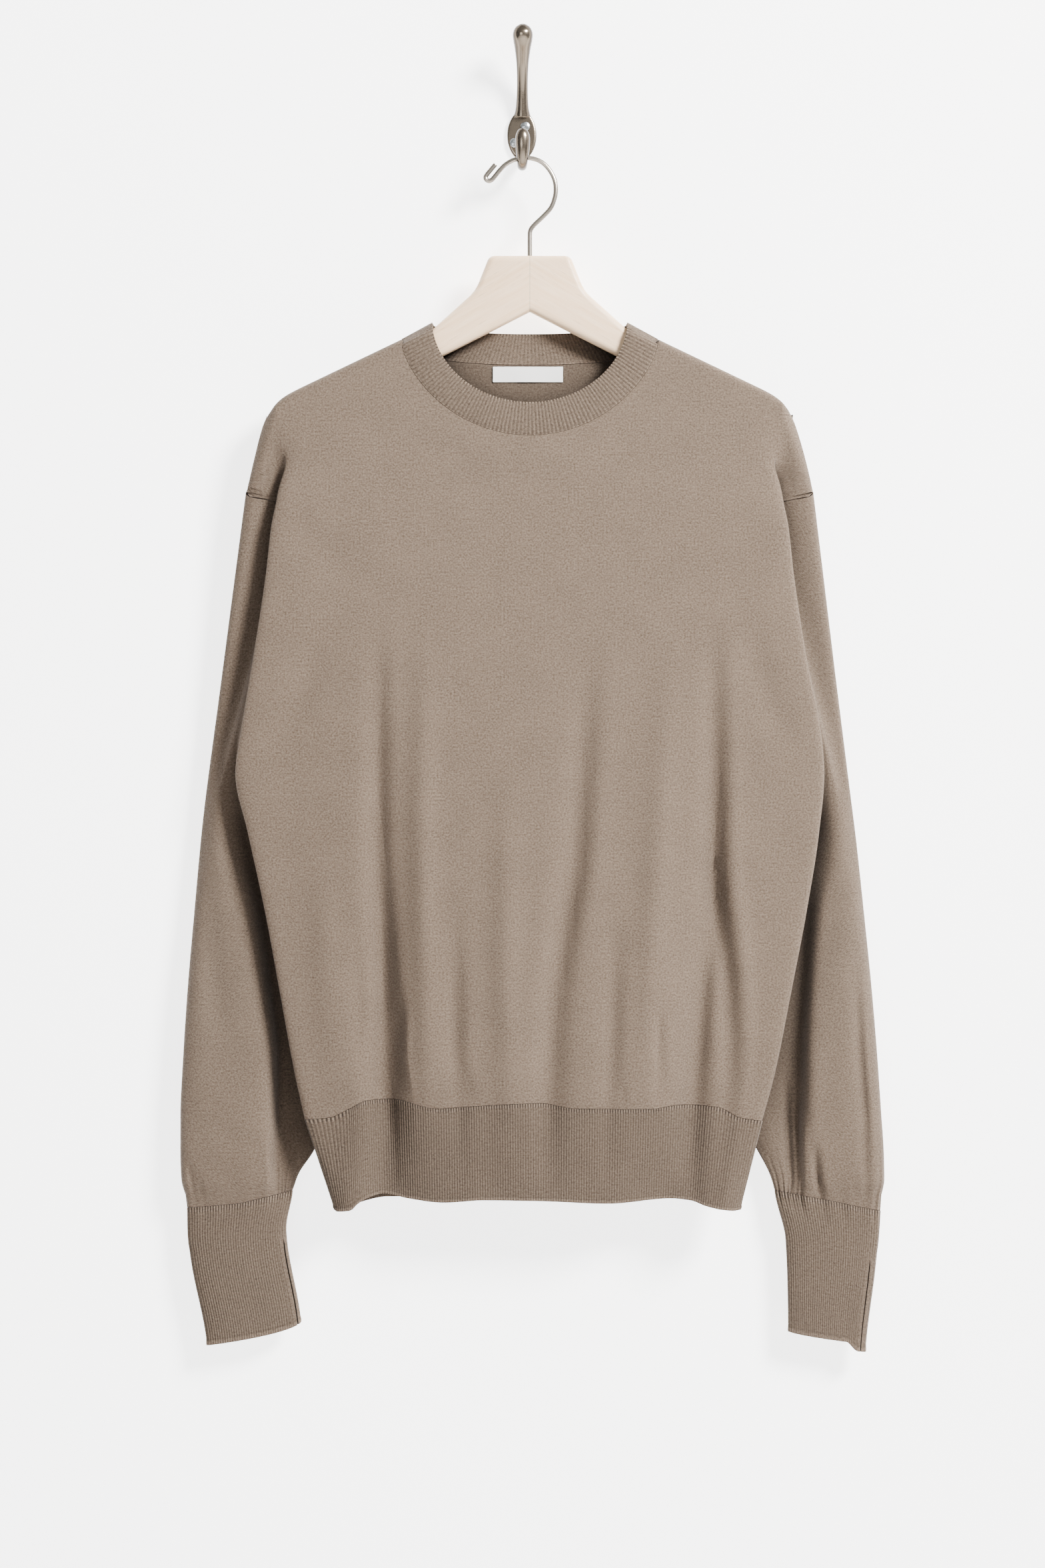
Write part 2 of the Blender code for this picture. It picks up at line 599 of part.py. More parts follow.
def rounded_outline(corners, steps=3):
    """Closed outline with each corner (across, drop, radius) turned by an arc."""
    outline = []
    count = len(corners)
    for k, (x, y, radius) in enumerate(corners):
        here = Vector((x, y))
        before = (Vector(corners[k - 1][:2]) - here).normalized()
        after = (Vector(corners[(k + 1) % count][:2]) - here).normalized()
        angle = before.angle(after)
        reach = radius / math.tan(angle / 2)
        centre = here + (before + after).normalized() * radius / math.sin(angle / 2)
        start, end = here + before * reach - centre, here + after * reach - centre
        for s in range(steps + 1):
            outline.append(centre + start.to_3d().slerp(end.to_3d(), s / steps).to_2d() * radius)
    return outline


HANGER_HALF = (
    # across, drop, radius of the corner
    (30.5, 95.6, 6.0), (41.0, 122.0, 30.0), (76.0, 153.5, 40.0), (174.0, 201.5, 20.0),
    (190.0, 215.0, 7.0), (185.0, 232.0, 9.0),
)
HANGER_NOTCH = (0.0, 138.0, 1.5)
HANGER_EDGE = (
    # inset of the outline, distance off the hanger's plane
    (4.5, -6.0), (1.3, -4.7), (0.0, -1.5), (0.0, 1.5), (1.3, 4.7), (4.5, 6.0),
)
HOOK_BORE = 4.1
HOOK_BORE_DEEP = 18.0
WIRE = 3.5
WIRE_ROUTE = (
    # across, drop
    (0.0, 112.0), (0.0, 95.0), (0.0, 82.0), (0.4, 76.5), (3.2, 72.3), (10.6, 65.2), (16.0, 59.0),
    (18.8, 51.7), (19.6, 45.0), (18.5, 37.8), (14.9, 30.8), (9.7, 25.3), (3.6, 22.4), (-3.6, 21.6),
    (-11.6, 22.9), (-17.9, 26.2), (-21.9, 30.0), (-25.2, 34.0), (-28.2, 37.6),
    (-30.4, 38.9), (-32.6, 38.2), (-33.4, 36.2), (-32.4, 34.2), (-29.3, 30.4), (-26.0, 26.5),
)


def build_hanger(wood, steel):
    left = [(-across, drop, radius) for across, drop, radius in reversed(HANGER_HALF)]
    outline = rounded_outline(list(HANGER_HALF) + [HANGER_NOTCH] + left)
    count = len(outline)
    points, faces = [], []
    for inset, off in HANGER_EDGE:
        for k, here in enumerate(outline):
            along = (outline[(k + 1) % count] - outline[k - 1]).normalized()
            inward = here + Vector((-along.y, along.x)) * inset
            points.append(place(inward.x, RIDGE_OFF + off, inward.y))
    for r in range(len(HANGER_EDGE) - 1):
        for k in range(count):
            n = (k + 1) % count
            faces.append((r * count + k, (r + 1) * count + k, (r + 1) * count + n, r * count + n))
    faces.append(tuple(range(count)))
    faces.append(tuple(reversed(range(len(points) - count, len(points)))))
    hanger = new_object("hanger_wood", points, faces, wood, smooth=False)
    bore = bmesh.new()
    bmesh.ops.create_cone(bore, cap_ends=True, segments=16, radius1=HOOK_BORE / 2 * MM,
                          radius2=HOOK_BORE / 2 * MM, depth=2 * HOOK_BORE_DEEP * MM)
    mesh = bpy.data.meshes.new("hook_bore")
    bore.to_mesh(mesh)
    bore.free()
    cutter = bpy.data.objects.new("hook_bore", mesh)
    cutter.location = place(0, RIDGE_OFF, HANGER_HALF[0][1])
    cutters.objects.link(cutter)
    combine(hanger, cutter, "DIFFERENCE")
    route = [tuple(place(across, RIDGE_OFF, drop)) for across, drop in WIRE_ROUTE]
    as_mesh(smooth_curve("hanger_hook", route, WIRE / 2 * MM, steel, sides=2), parts)


PLATE = {"half_width": 10.5, "half_height": 18.5, "thick": 3.2}
UPPER_PRONG = (
    # across (from the plate's middle), off, height, radius
    (0.3, 1.8, 17.5, 5.6), (0.3, 5.5, 25.0, 4.9), (0.4, 10.5, 38.0, 4.1), (0.5, 18.0, 50.0, 4.2),
    (0.6, 26.0, 60.0, 5.2), (0.7, 32.5, 67.5, 6.6), (0.7, 35.5, 71.5, 6.2), (0.7, 37.5, 74.5, 3.8),
)
LOWER_PRONG = (
    (0.2, 1.8, -13.5, 4.0), (0.2, 9.0, -19.0, 3.9), (0.2, 18.0, -25.2, 3.7), (0.3, 28.0, -27.5, 3.6),
    (0.4, 35.0, -24.5, 4.2), (0.6, 38.5, -16.0, 5.2), (0.6, 39.5, -7.5, 5.4), (0.6, 39.8, -2.5, 3.4),
)
SCREWS = (("hook_screw_upper", 2.6, 6.6), ("hook_screw_lower", -5.6, -6.0))
SCREW_HEAD = {"radius": 3.6, "high": 1.6}


def build_wall_hook(nickel, zinc):
    oval = bmesh.new()
    bmesh.ops.create_cone(oval, cap_ends=True, segments=40, radius1=PLATE["half_width"] * MM,
                          radius2=PLATE["half_width"] * MM, depth=PLATE["thick"] * MM)
    bmesh.ops.rotate(oval, verts=oval.verts, matrix=Vector((0, 0, 1)).rotation_difference(
        Vector((0, -1, 0))).to_matrix())
    tall = PLATE["half_height"] / PLATE["half_width"]
    bmesh.ops.scale(oval, verts=oval.verts, vec=(1, 1, tall))
    bmesh.ops.translate(oval, verts=oval.verts, vec=(0, -PLATE["thick"] / 2 * MM, 0))
    front_edge = [e for e in oval.edges if all(v.co.y < -PLATE["thick"] * 0.9 * MM for v in e.verts)]
    bmesh.ops.bevel(oval, geom=front_edge, offset=1.3 * MM, segments=2, profile=0.5, affect="EDGES")
    mesh = bpy.data.meshes.new("wall_hook")
    oval.to_mesh(mesh)
    oval.free()
    hook = bpy.data.objects.new("wall_hook", mesh)
    parts.objects.link(hook)
    hook.data.materials.append(nickel)
    for name, prong in (("upper_prong", UPPER_PRONG), ("lower_prong", LOWER_PRONG)):
        points = [(across * MM, -off * MM, height * MM) for across, off, height, _ in prong]
        bar = smooth_curve(name, points, MM, nickel, sides=3, steps=2, radii=[p[3] for p in prong])
        solid = as_mesh(bar, cutters)
        combine(hook, solid, "UNION")
    for name, across, height in SCREWS:
        bpy.ops.mesh.primitive_uv_sphere_add(segments=16, ring_count=8, radius=SCREW_HEAD["radius"] * MM)
        screw = bpy.context.object
        screw.name = name
        work = bmesh.new()
        work.from_mesh(screw.data)
        bmesh.ops.scale(work, verts=work.verts, vec=(1, 1, SCREW_HEAD["high"] / SCREW_HEAD["radius"]))
        cut = bmesh.ops.bisect_plane(work, geom=work.verts[:] + work.edges[:] + work.faces[:],
                                     plane_co=(0, 0, 0.0002), plane_no=(0, 0, 1), clear_inner=True)
        rim = [e for e in cut["geom_cut"] if isinstance(e, bmesh.types.BMEdge)]
        bmesh.ops.contextual_create(work, geom=rim)
        bmesh.ops.recalc_face_normals(work, faces=work.faces)
        work.to_mesh(screw.data)
        work.free()
        screw.rotation_euler = (math.radians(90), 0, 0)
        screw.location = (across * MM, -(PLATE["thick"] + 0.1) * MM, height * MM)
        for old in list(screw.users_collection):
            old.objects.unlink(screw)
        parts.objects.link(screw)
        screw.data.materials.clear()
        screw.data.materials.append(zinc)


# ---------------------------------------------------------------- the part

for old in list(bpy.data.objects):
    bpy.data.objects.remove(old)
parts = bpy.data.collections.new("crewneck_sweater")
cutters = bpy.data.collections.new("cutters")
for group in (parts, cutters):
    bpy.context.scene.collection.children.link(group)

KNIT_COLOUR = (0.36, 0.29, 0.235)
knit = surface("plain_knit", KNIT_COLOUR, 0.95)
rib = surface("rib_knit", tuple(0.82 * c for c in KNIT_COLOUR), 0.95)
label_cloth = surface("woven_label", (0.86, 0.85, 0.82), 0.8)
wood = surface("pale_wood", (0.80, 0.70, 0.60), 0.45)
steel = surface("hanger_wire", (0.66, 0.62, 0.58), 0.35, 1.0)
nickel = surface("satin_nickel", (0.45, 0.41, 0.37), 0.35, 1.0)
zinc = surface("zinc_screw", (0.60, 0.64, 0.66), 0.35, 1.0)

front_columns = panel_columns(front_point, FRONT_EDGE_PLACES)
back_columns = panel_columns(back_point, BACK_EDGE_PLACES, back=True)
front_grid = panel_rows(front_point, front_columns, FRONT_ROWS, True)
back_grid = [row[::-1] for row in panel_rows(back_point, back_columns, BACK_ROWS, False)]
cloth("front", front_grid, knit)
cloth("back", back_grid, knit)

sleeves = {side: sleeve_grid(side) for side in (-1, 1)}
for side, name in ((-1, "left"), (1, "right")):
    grid = sleeves[side]
    cuff = cuff_rows(side, grid)
    if side < 0:
        grid = [row[::-1] for row in grid]
        cuff = [[row[0]] + row[:0:-1] for row in cuff]
    cloth("sleeve_" + name, grid, knit, closed=True)
    ribbed("cuff_" + name, cuff, CUFF_RIBS, rib, slit=1)


def hem_rows():
    """Rows of the hem rib: the panels' last rows and the band's lower edge."""
    bottom = []
    for (side, share, _), (seam, _, _) in zip(front_columns, front_grid[-1]):
        hidden = (share - FOLD_SHARE) / (2 - FOLD_SHARE)
        seam = side * 1000.0 if hidden > 0 else seam
        low = [HEM_EDGE.read(key, seam) for key in ("across", "off", "drop")]
        bottom.append(tuple(mix(a, b, max(0.0, hidden)) for a, b in zip(low, HEM_ENDS[side])))
    back_line = back_grid[-1]
    lengths = [0.0]
    for a, b in zip(back_line, back_line[1:]):
        lengths.append(lengths[-1] + math.dist(a, b))
    for length in lengths:
        share = length / lengths[-1]
        near = ease(min(share, 1 - share) / 0.13)
        bottom.append((mix(HEM_ENDS[1][0], HEM_ENDS[-1][0], share), mix(35.5, HEM_BACK_OFF, near ** 0.5),
                       mix(813.0, HEM_BACK_DROP, near)))
    return parted(front_grid[-1] + back_line, bottom), bottom


ribbed("hem_rib", hem_rows(), HEM_RIBS, rib)


def neck_rows():
    """Rows of the neckband: its inner edge first, the panels' neck seam last."""
    front_line = [p for p in front_grid[0] if abs(p[0]) < NECK_HALF + 0.1]
    back_line = [p for p in back_grid[0] if abs(p[0]) < NECK_HALF + 0.1]
    seam = front_line + back_line[1:-1]
    half = len(NECK_TURNS)
    for k in (0, 2 * half):
        seam[k] = (seam[k][0], RIDGE_OFF, seam[k][2])
    turns = [-90] + [-t for t in reversed(NECK_TURNS)] + list(NECK_TURNS[1:])
    turns += [90] + [180 - t for t in reversed(NECK_TURNS)] + [180 + t for t in NECK_TURNS[1:]]
    edge = []
    for turn in turns:
        turn = math.radians(turn)
        low = math.cos(turn)
        off, deep = (BAND_FRONT_OFF, BAND_FRONT_DROP) if low > 0 else (BAND_BACK_OFF, BAND_BACK_DROP)
        across = BAND_HALF * math.sin(turn)
        edge.append((across, mix(RIDGE_OFF, off, min(1.0, abs(low) / 0.16) ** 0.5),
                     BAND_TOP + deep * abs(low) ** 1.05))
    return edge, parted(seam, edge)


ribbed("neckband", neck_rows(), BAND_RIBS, rib)


def build_label():
    """Woven label on the inner face of the back, moved out of its points."""
    rows = []
    top = NECK_TOP + NECK_BACK_DROP + 1.2
    for k in range(3):
        drop = top + LABEL["height"] * k / 2
        row = []
        for c in range(5):
            across = LABEL["across"] + LABEL["width"] * (c / 4 - 0.5)
            off = BACK.read("mid", drop) + KNIT + SEAM + LABEL["thick"]
            row.append((across, off, drop))
        rows.append(row)
    label = cloth("neck_label", rows, label_cloth)
    label.modifiers["wall"].thickness = LABEL["thick"] * MM


build_label()
build_hanger(wood, steel)
build_wall_hook(nickel, zinc)
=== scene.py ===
"""Crewneck sweater on a wooden hanger, which hangs from a small hook on a wall.

Lengths are millimetres unless a line says otherwise. A point of the garment is
across (from its centre line, right in front view), off (distance off the wall)
and drop (distance below the middle of the wall hook's plate, the origin).
"""
import math

import bpy
import numpy as np
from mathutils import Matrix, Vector


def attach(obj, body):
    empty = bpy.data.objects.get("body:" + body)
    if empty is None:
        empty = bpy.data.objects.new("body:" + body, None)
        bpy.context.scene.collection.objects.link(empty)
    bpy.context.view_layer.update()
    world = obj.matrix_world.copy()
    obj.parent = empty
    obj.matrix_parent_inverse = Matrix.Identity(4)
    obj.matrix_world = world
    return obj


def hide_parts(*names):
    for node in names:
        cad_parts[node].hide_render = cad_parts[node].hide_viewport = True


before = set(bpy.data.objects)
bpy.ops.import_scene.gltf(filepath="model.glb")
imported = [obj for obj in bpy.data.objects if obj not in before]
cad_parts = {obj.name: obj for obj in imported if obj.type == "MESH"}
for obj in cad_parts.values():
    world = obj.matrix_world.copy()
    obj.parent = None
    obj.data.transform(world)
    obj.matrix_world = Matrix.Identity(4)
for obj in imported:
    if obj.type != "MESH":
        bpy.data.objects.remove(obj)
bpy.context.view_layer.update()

# ---------------------------------------------------------------- camera, light, stage
# A level camera in front of the wall, a large soft lamp high on the right, a
# weak one on the left, and a painted wall and floor. Lengths here are metres.
CAMERA_PLACE = (0.0005, -2.845, -0.494)
LENS, SENSOR = 85.71, 36    # millimetres
camera_data = bpy.data.cameras.new("camera")
camera_data.lens = LENS
camera_data.sensor_width = SENSOR
camera = bpy.data.objects.new("camera", camera_data)
camera.location = CAMERA_PLACE
camera.rotation_euler = (math.radians(90), 0, 0)
bpy.context.scene.collection.objects.link(camera)
bpy.context.scene.camera = camera


def area_light(name, place, aim, size, power, colour=(1, 1, 1)):
    data = bpy.data.lights.new(name, "AREA")
    data.shape = "DISK"
    data.size = size
    data.energy = power
    data.color = colour
    lamp = bpy.data.objects.new(name, data)
    lamp.location = place
    lamp.rotation_euler = (Vector(aim) - Vector(place)).to_track_quat("-Z", "Y").to_euler()
    bpy.context.scene.collection.objects.link(lamp)


area_light("key", (2.0, -2.05, 1.45), (0.0, 0.0, -0.45), 1.0, 472.0, (1.0, 0.99, 0.975))
area_light("fill", (-1.2, -3.4, -0.6), (0.0, 0.0, -0.6), 1.6, 22.0)


def node(tree, kind, inputs=(), **settings):
    """Add a node; inputs are (socket, value or output) pairs."""
    made = tree.nodes.new(kind)
    for key, value in settings.items():
        setattr(made, key, value)
    for socket, value in inputs:
        if isinstance(value, bpy.types.NodeSocket):
            tree.links.new(value, made.inputs[socket])
        else:
            made.inputs[socket].default_value = value
    return made


def ramp(tree, value, low, high, start=0.0, end=1.0):
    """Number from start to end, as value goes from low to high."""
    inputs = enumerate((value, low, high, start, end))
    return node(tree, "ShaderNodeMapRange", inputs).outputs[0]


BRIGHT_SIDE = (0.55, -0.2, 0.8)    # the pale room is brightest towards the key lamp
world = bpy.data.worlds.new("room")
bpy.context.scene.world = world
world.use_nodes = True
tree = world.node_tree
sky = node(tree, "ShaderNodeTexCoord").outputs["Generated"]
lamp_side = node(tree, "ShaderNodeVectorMath", [(0, sky), (1, BRIGHT_SIDE)], operation="DOT_PRODUCT")
level = ramp(tree, lamp_side.outputs["Value"], -0.7, 0.8, 0.06, 0.45)
tree.links.new(level, tree.nodes["Background"].inputs["Strength"])
tree.nodes["Background"].inputs["Color"].default_value = (1.0, 0.995, 0.985, 1.0)


def shader_of(material):
    """The material's Principled shader."""
    return next(n for n in material.node_tree.nodes if n.type == "BSDF_PRINCIPLED")


def new_material(name, colour, roughness, metallic=0.0):
    material = bpy.data.materials.new(name)
    material.use_nodes = True
    shader = shader_of(material)
    shader.inputs["Base Color"].default_value = (*colour, 1.0)
    shader.inputs["Roughness"].default_value = roughness
    shader.inputs["Metallic"].default_value = metallic
    return material


def plane(name, corners, material):
    mesh = bpy.data.meshes.new(name)
    mesh.from_pydata(corners, [], [tuple(range(len(corners)))])
    obj = bpy.data.objects.new(name, mesh)
    bpy.context.scene.collection.objects.link(obj)
    mesh.materials.append(material)


# The wall's front glows a little, as an evenly lit wall does; its rear is clear.
WALL_Y, ROOM_FRONT, ROOM_HALF, FLOOR_HEIGHT, ROOM_TOP = 0.0006, -4.0, 3.0, -2.2, 2.0
wall_paint = new_material("wall_paint", (0.92, 0.922, 0.925), 0.9)
shader = shader_of(wall_paint)
shader.inputs["Emission Color"].default_value = (1.0, 1.0, 1.0, 1.0)
shader.inputs["Emission Strength"].default_value = 3.4
tree = wall_paint.node_tree
behind = node(tree, "ShaderNodeNewGeometry").outputs["Backfacing"]
clear = node(tree, "ShaderNodeBsdfTransparent").outputs[0]
either = node(tree, "ShaderNodeMixShader", [(0, behind), (1, shader.outputs[0]), (2, clear)])
tree.links.new(either.outputs[0], tree.nodes["Material Output"].inputs["Surface"])
plane("wall", [(-ROOM_HALF, WALL_Y, FLOOR_HEIGHT), (ROOM_HALF, WALL_Y, FLOOR_HEIGHT),
               (ROOM_HALF, WALL_Y, ROOM_TOP), (-ROOM_HALF, WALL_Y, ROOM_TOP)], wall_paint)
floor_paint = new_material("floor_paint", (0.62, 0.61, 0.60), 0.8)
plane("floor", [(-ROOM_HALF, ROOM_FRONT, FLOOR_HEIGHT), (ROOM_HALF, ROOM_FRONT, FLOOR_HEIGHT),
                (ROOM_HALF, WALL_Y, FLOOR_HEIGHT), (-ROOM_HALF, WALL_Y, FLOOR_HEIGHT)], floor_paint)


# ---------------------------------------------------------------- wall hook and screws
# A small satin nickel coat hook, cast in one: a pointed plate, an upper prong
# with a knob and a lower prong that carries the hanger. Two domed zinc screws
# with a cross in their heads hold its plate to the wall.
MM = 0.001


def piece_from(name, points, faces, material, nodes, smooth=True):
    """New piece from points in metres, which stands for the named nodes."""
    mesh = bpy.data.meshes.new(name)
    mesh.from_pydata([tuple(p) for p in points], [], faces)
    mesh.update()
    if smooth:
        mesh.shade_smooth()
    mesh.materials.append(material)
    obj = bpy.data.objects.new(name, mesh)
    bpy.context.scene.collection.objects.link(obj)
    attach(obj, "root")
    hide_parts(*nodes)
    return obj


def ring_faces(rows, count, first=0):
    """Faces between rows of count points each, from point number first on."""
    faces = []
    for r in range(rows - 1):
        for c in range(count):
            a, b = first + r * count + c, first + r * count + (c + 1) % count
            faces.append((a, a + count, b + count, b))
    return faces


def closed_loft(rows, count, first=0):
    """The same faces, and one over each end."""
    last = first + (rows - 1) * count
    return ring_faces(rows, count, first) + [
        tuple(range(first, first + count)), tuple(reversed(range(last, last + count)))]


def curve_between(a, b, c, d, t):
    """Catmull-Rom curve from b to c."""
    return b + 0.5 * t * (c - a + t * (2 * a - 5 * b + 4 * c - d + t * (3 * (b - c) + d - a)))


def smooth_path(points, steps):
    """Catmull-Rom points through rows of numbers, steps to each span."""
    points = np.array(points, float)
    last = len(points) - 1
    result = []
    for k in range(last):
        a, b, c, d = (points[min(max(k + j, 0), last)] for j in (-1, 0, 1, 2))
        for t in np.arange(steps) / steps:
            result.append(curve_between(a, b, c, d, t))
    return np.array(result + [points[last]])


def tube(path, radii, sides):
    """Points (metres) and faces of a bar along path, closed at both ends."""
    path = np.array(path, float)
    side = np.array((1.0, 0.0, 0.0))
    points = []
    for k, here in enumerate(path):
        ahead = path[min(k + 1, len(path) - 1)] - path[max(k - 1, 0)]
        ahead = ahead / np.linalg.norm(ahead)
        side = side - ahead * side.dot(ahead)
        side = side / np.linalg.norm(side)
        up = np.cross(ahead, side)
        for turn in np.arange(sides) * 2 * math.pi / sides:
            points.append((here + radii[k] * (side * math.cos(turn) + up * math.sin(turn))) * MM)
    return points, closed_loft(len(path), sides)


def maths(tree, operation, a, b=None, c=None):
    """Result of a Math node."""
    inputs = [(k, v) for k, v in enumerate((a, b, c)) if v is not None]
    return node(tree, "ShaderNodeMath", inputs, operation=operation).outputs[0]


def blend(tree, factor, a, b, how="MIX"):
    """Colour a blended with b; each input is a value or an output."""
    made = node(tree, "ShaderNodeMix", data_type="RGBA", blend_type=how)
    for socket, value in ((made.inputs[0], factor), (made.inputs[6], a), (made.inputs[7], b)):
        if isinstance(value, bpy.types.NodeSocket):
            tree.links.new(value, socket)
        elif isinstance(value, tuple):
            socket.default_value = (*value, 1.0)
        else:
            socket.default_value = value
    return made.outputs[2]


def metal(name, face, edge, roughness):
    """Satin metal with a painted reflection: its colour darkens where it turns away."""
    material = new_material(name, face, roughness, 1.0)
    tree = material.node_tree
    turned = node(tree, "ShaderNodeLayerWeight", [("Blend", 0.5)]).outputs["Facing"]
    away = ramp(tree, turned, 0.03, 0.42)
    tree.links.new(blend(tree, away, face, edge), shader_of(material).inputs["Base Color"])
    return material


# The second colour is a painted reflection, darker towards the edges.
nickel = metal("satin_nickel", (0.35, 0.29, 0.225), (0.045, 0.034, 0.024), 0.25)
zinc = new_material("zinc_screw", (0.62, 0.66, 0.68), 0.3, 1.0)
PLATE_HALF, PLATE_THICK, PLATE_SIDES = (11.2, 19.4), 3.2, 64
PLATE_POINTED = 0.16    # how much narrower than an oval the plate's ends are
PLATE_ROUND = ((0.0, 0.0), (0.0, 2.0), (0.35, 2.75), (1.2, PLATE_THICK))    # inset, off
PATH_STEPS, PRONG_SIDES = 6, 24    # steps from point to point of a route
UPPER_PRONG = (
    # across from the plate's middle, off, height, radius
    (0.3, 1.8, 15.5, 6.2), (0.3, 5.0, 22.0, 4.8), (0.4, 10.5, 36.0, 4.2), (0.5, 18.0, 50.0, 4.6),
    (0.6, 25.5, 60.0, 5.9), (0.7, 31.5, 67.5, 7.4), (0.7, 34.5, 71.5, 7.5), (0.7, 36.5, 75.2, 5.6),
    (0.7, 37.8, 77.4, 1.8))
LOWER_PRONG = (
    (0.2, 1.8, -13.5, 4.0), (0.2, 9.0, -19.0, 3.9), (0.2, 18.0, -25.2, 3.7), (0.3, 28.0, -27.5, 3.6),
    (0.4, 35.0, -24.5, 4.2), (0.6, 38.5, -16.0, 5.2), (0.6, 39.5, -7.5, 5.4), (0.6, 39.8, -2.5, 3.4),
    (0.6, 39.9, -1.2, 1.0))
MELT_CELL, MELT_PASSES = 0.55, 3    # cells in which plate and prongs are melted into one
hook_points, hook_faces = [], []
for prong in (UPPER_PRONG, LOWER_PRONG):
    line = smooth_path(prong, PATH_STEPS)
    points, faces = tube(line[:, :3] * (1, -1, 1), line[:, 3], PRONG_SIDES)
    hook_faces += [tuple(i + len(hook_points) for i in face) for face in faces]
    hook_points += points
hook_faces += closed_loft(len(PLATE_ROUND), PLATE_SIDES, len(hook_points))
for inset, off in PLATE_ROUND:
    for k in range(PLATE_SIDES):
        turn = -2 * math.pi * k / PLATE_SIDES
        wide = (PLATE_HALF[0] - inset) * math.cos(turn) * (1 - PLATE_POINTED * abs(math.sin(turn)) ** 3)
        hook_points.append((wide * MM, -off * MM, (PLATE_HALF[1] - inset) * math.sin(turn) * MM))
casting = piece_from("hook_casting", hook_points, hook_faces, nickel, ["wall_hook"])
melted = casting.modifiers.new("melted", "REMESH")
melted.mode = "VOXEL"
melted.voxel_size = MELT_CELL * MM
melted.use_smooth_shade = True
rounded = casting.modifiers.new("rounded", "SMOOTH")
rounded.factor = 0.5
rounded.iterations = MELT_PASSES

SCREWS = (
    # name, across, height, turn of its cross
    ("upper", 2.6, 6.6, 0.5), ("lower", -5.6, -6.0, 0.2))
SCREW_RADIUS, SCREW_RINGS, SCREW_SIDES = 3.5, 14, 40
DOME_HIGH, DOME_RADIUS = 1.5, SCREW_RADIUS + 0.25
CROSS_HALF, CROSS_REACH, CROSS_DEEP = 0.42, 2.1, 0.8
RIM_OFF, REAR_OFF = PLATE_THICK + 0.15, PLATE_THICK + 0.1
for name, across, height, twist in SCREWS:
    points = []
    for r in range(SCREW_RINGS + 2):
        reach = SCREW_RADIUS * min(r, SCREW_RINGS) / SCREW_RINGS
        for turn in [2 * math.pi * s / SCREW_SIDES for s in range(SCREW_SIDES)]:
            u, v = reach * math.cos(turn + twist), reach * math.sin(turn + twist)
            off = RIM_OFF + DOME_HIGH * math.sqrt(1 - (reach / DOME_RADIUS) ** 2)
            if min(abs(u), abs(v)) < CROSS_HALF and reach < CROSS_REACH:
                off -= CROSS_DEEP
            if r > SCREW_RINGS:
                off = REAR_OFF
            points.append(((across + reach * math.cos(turn)) * MM, -off * MM,
                           (height + reach * math.sin(turn)) * MM))
    faces = [face[::-1] for face in ring_faces(SCREW_RINGS + 2, SCREW_SIDES)]
    faces.append(tuple(range(len(points) - SCREW_SIDES, len(points)))[::-1])
    piece_from("screw_" + name, points, faces, zinc, ["hook_screw_" + name], smooth=False)


# ---------------------------------------------------------------- hanger
# A satin steel wire, bent to a hook and folded back at its end, set in a flat
# hanger: two halves of pale wood with slanting grain and rounded edges, glued
# together on the centre line.
CENTRE = 6.0            # the hanger hangs this far right of the wall plate
HANGER_OFF = 28.0
WIRE, WIRE_SIDES = 3.5, 16
WIRE_ROUTE = (
    # across, drop
    (0.0, 112.0), (0.0, 95.0), (0.0, 82.0), (0.4, 76.5), (3.2, 72.3), (10.6, 65.2), (16.0, 59.0),
    (18.8, 51.7), (19.6, 45.0), (18.5, 37.8), (14.9, 30.8), (9.7, 25.3), (3.6, 22.4), (-3.6, 21.6),
    (-11.6, 22.9), (-17.9, 26.2), (-21.9, 30.0), (-25.2, 34.0), (-28.2, 37.6),
    (-30.4, 38.9), (-32.6, 38.2), (-33.4, 36.2), (-32.4, 34.2), (-29.3, 30.4), (-26.0, 26.5))
# The second colour is a painted reflection, darker towards the edges.
steel = metal("hanger_wire", (0.62, 0.55, 0.47), (0.09, 0.075, 0.058), 0.28)
route = [(CENTRE + x, -HANGER_OFF, -y) for x, y in WIRE_ROUTE]
path = smooth_path(route, PATH_STEPS)
points, faces = tube(path, [WIRE / 2] * len(path), WIRE_SIDES)
piece_from("hanger_wire", points, faces, steel, ["hanger_hook"])

HANGER_HALF = (
    # across, drop, radius of the corner
    (30.5, 95.6, 6.0), (41.0, 122.0, 30.0), (76.0, 153.5, 40.0), (174.0, 201.5, 20.0),
    (190.0, 215.0, 7.0), (185.0, 232.0, 9.0))
HANGER_NOTCH = (0.0, 138.0, 1.5)
HANGER_HALF_THICK, HANGER_EDGE = 6.0, 4.5    # the second is the radius of its edges
CORNER_STEPS, EDGE_STEPS = 10, 10


def rounded_outline(corners, steps):
    """Closed outline with each corner (across, drop, radius) turned by an arc."""
    outline = []
    count = len(corners)
    for k, (x, y, radius) in enumerate(corners):
        here = Vector((x, y))
        before = (Vector(corners[k - 1][:2]) - here).normalized()
        after = (Vector(corners[(k + 1) % count][:2]) - here).normalized()
        half = before.angle(after) / 2
        centre = here + (before + after).normalized() * radius / math.sin(half)
        start = here + before * radius / math.tan(half) - centre
        end = here + after * radius / math.tan(half) - centre
        for s in range(steps + 1):
            outline.append(centre + start.to_3d().slerp(end.to_3d(), s / steps).to_2d() * radius)
    return outline


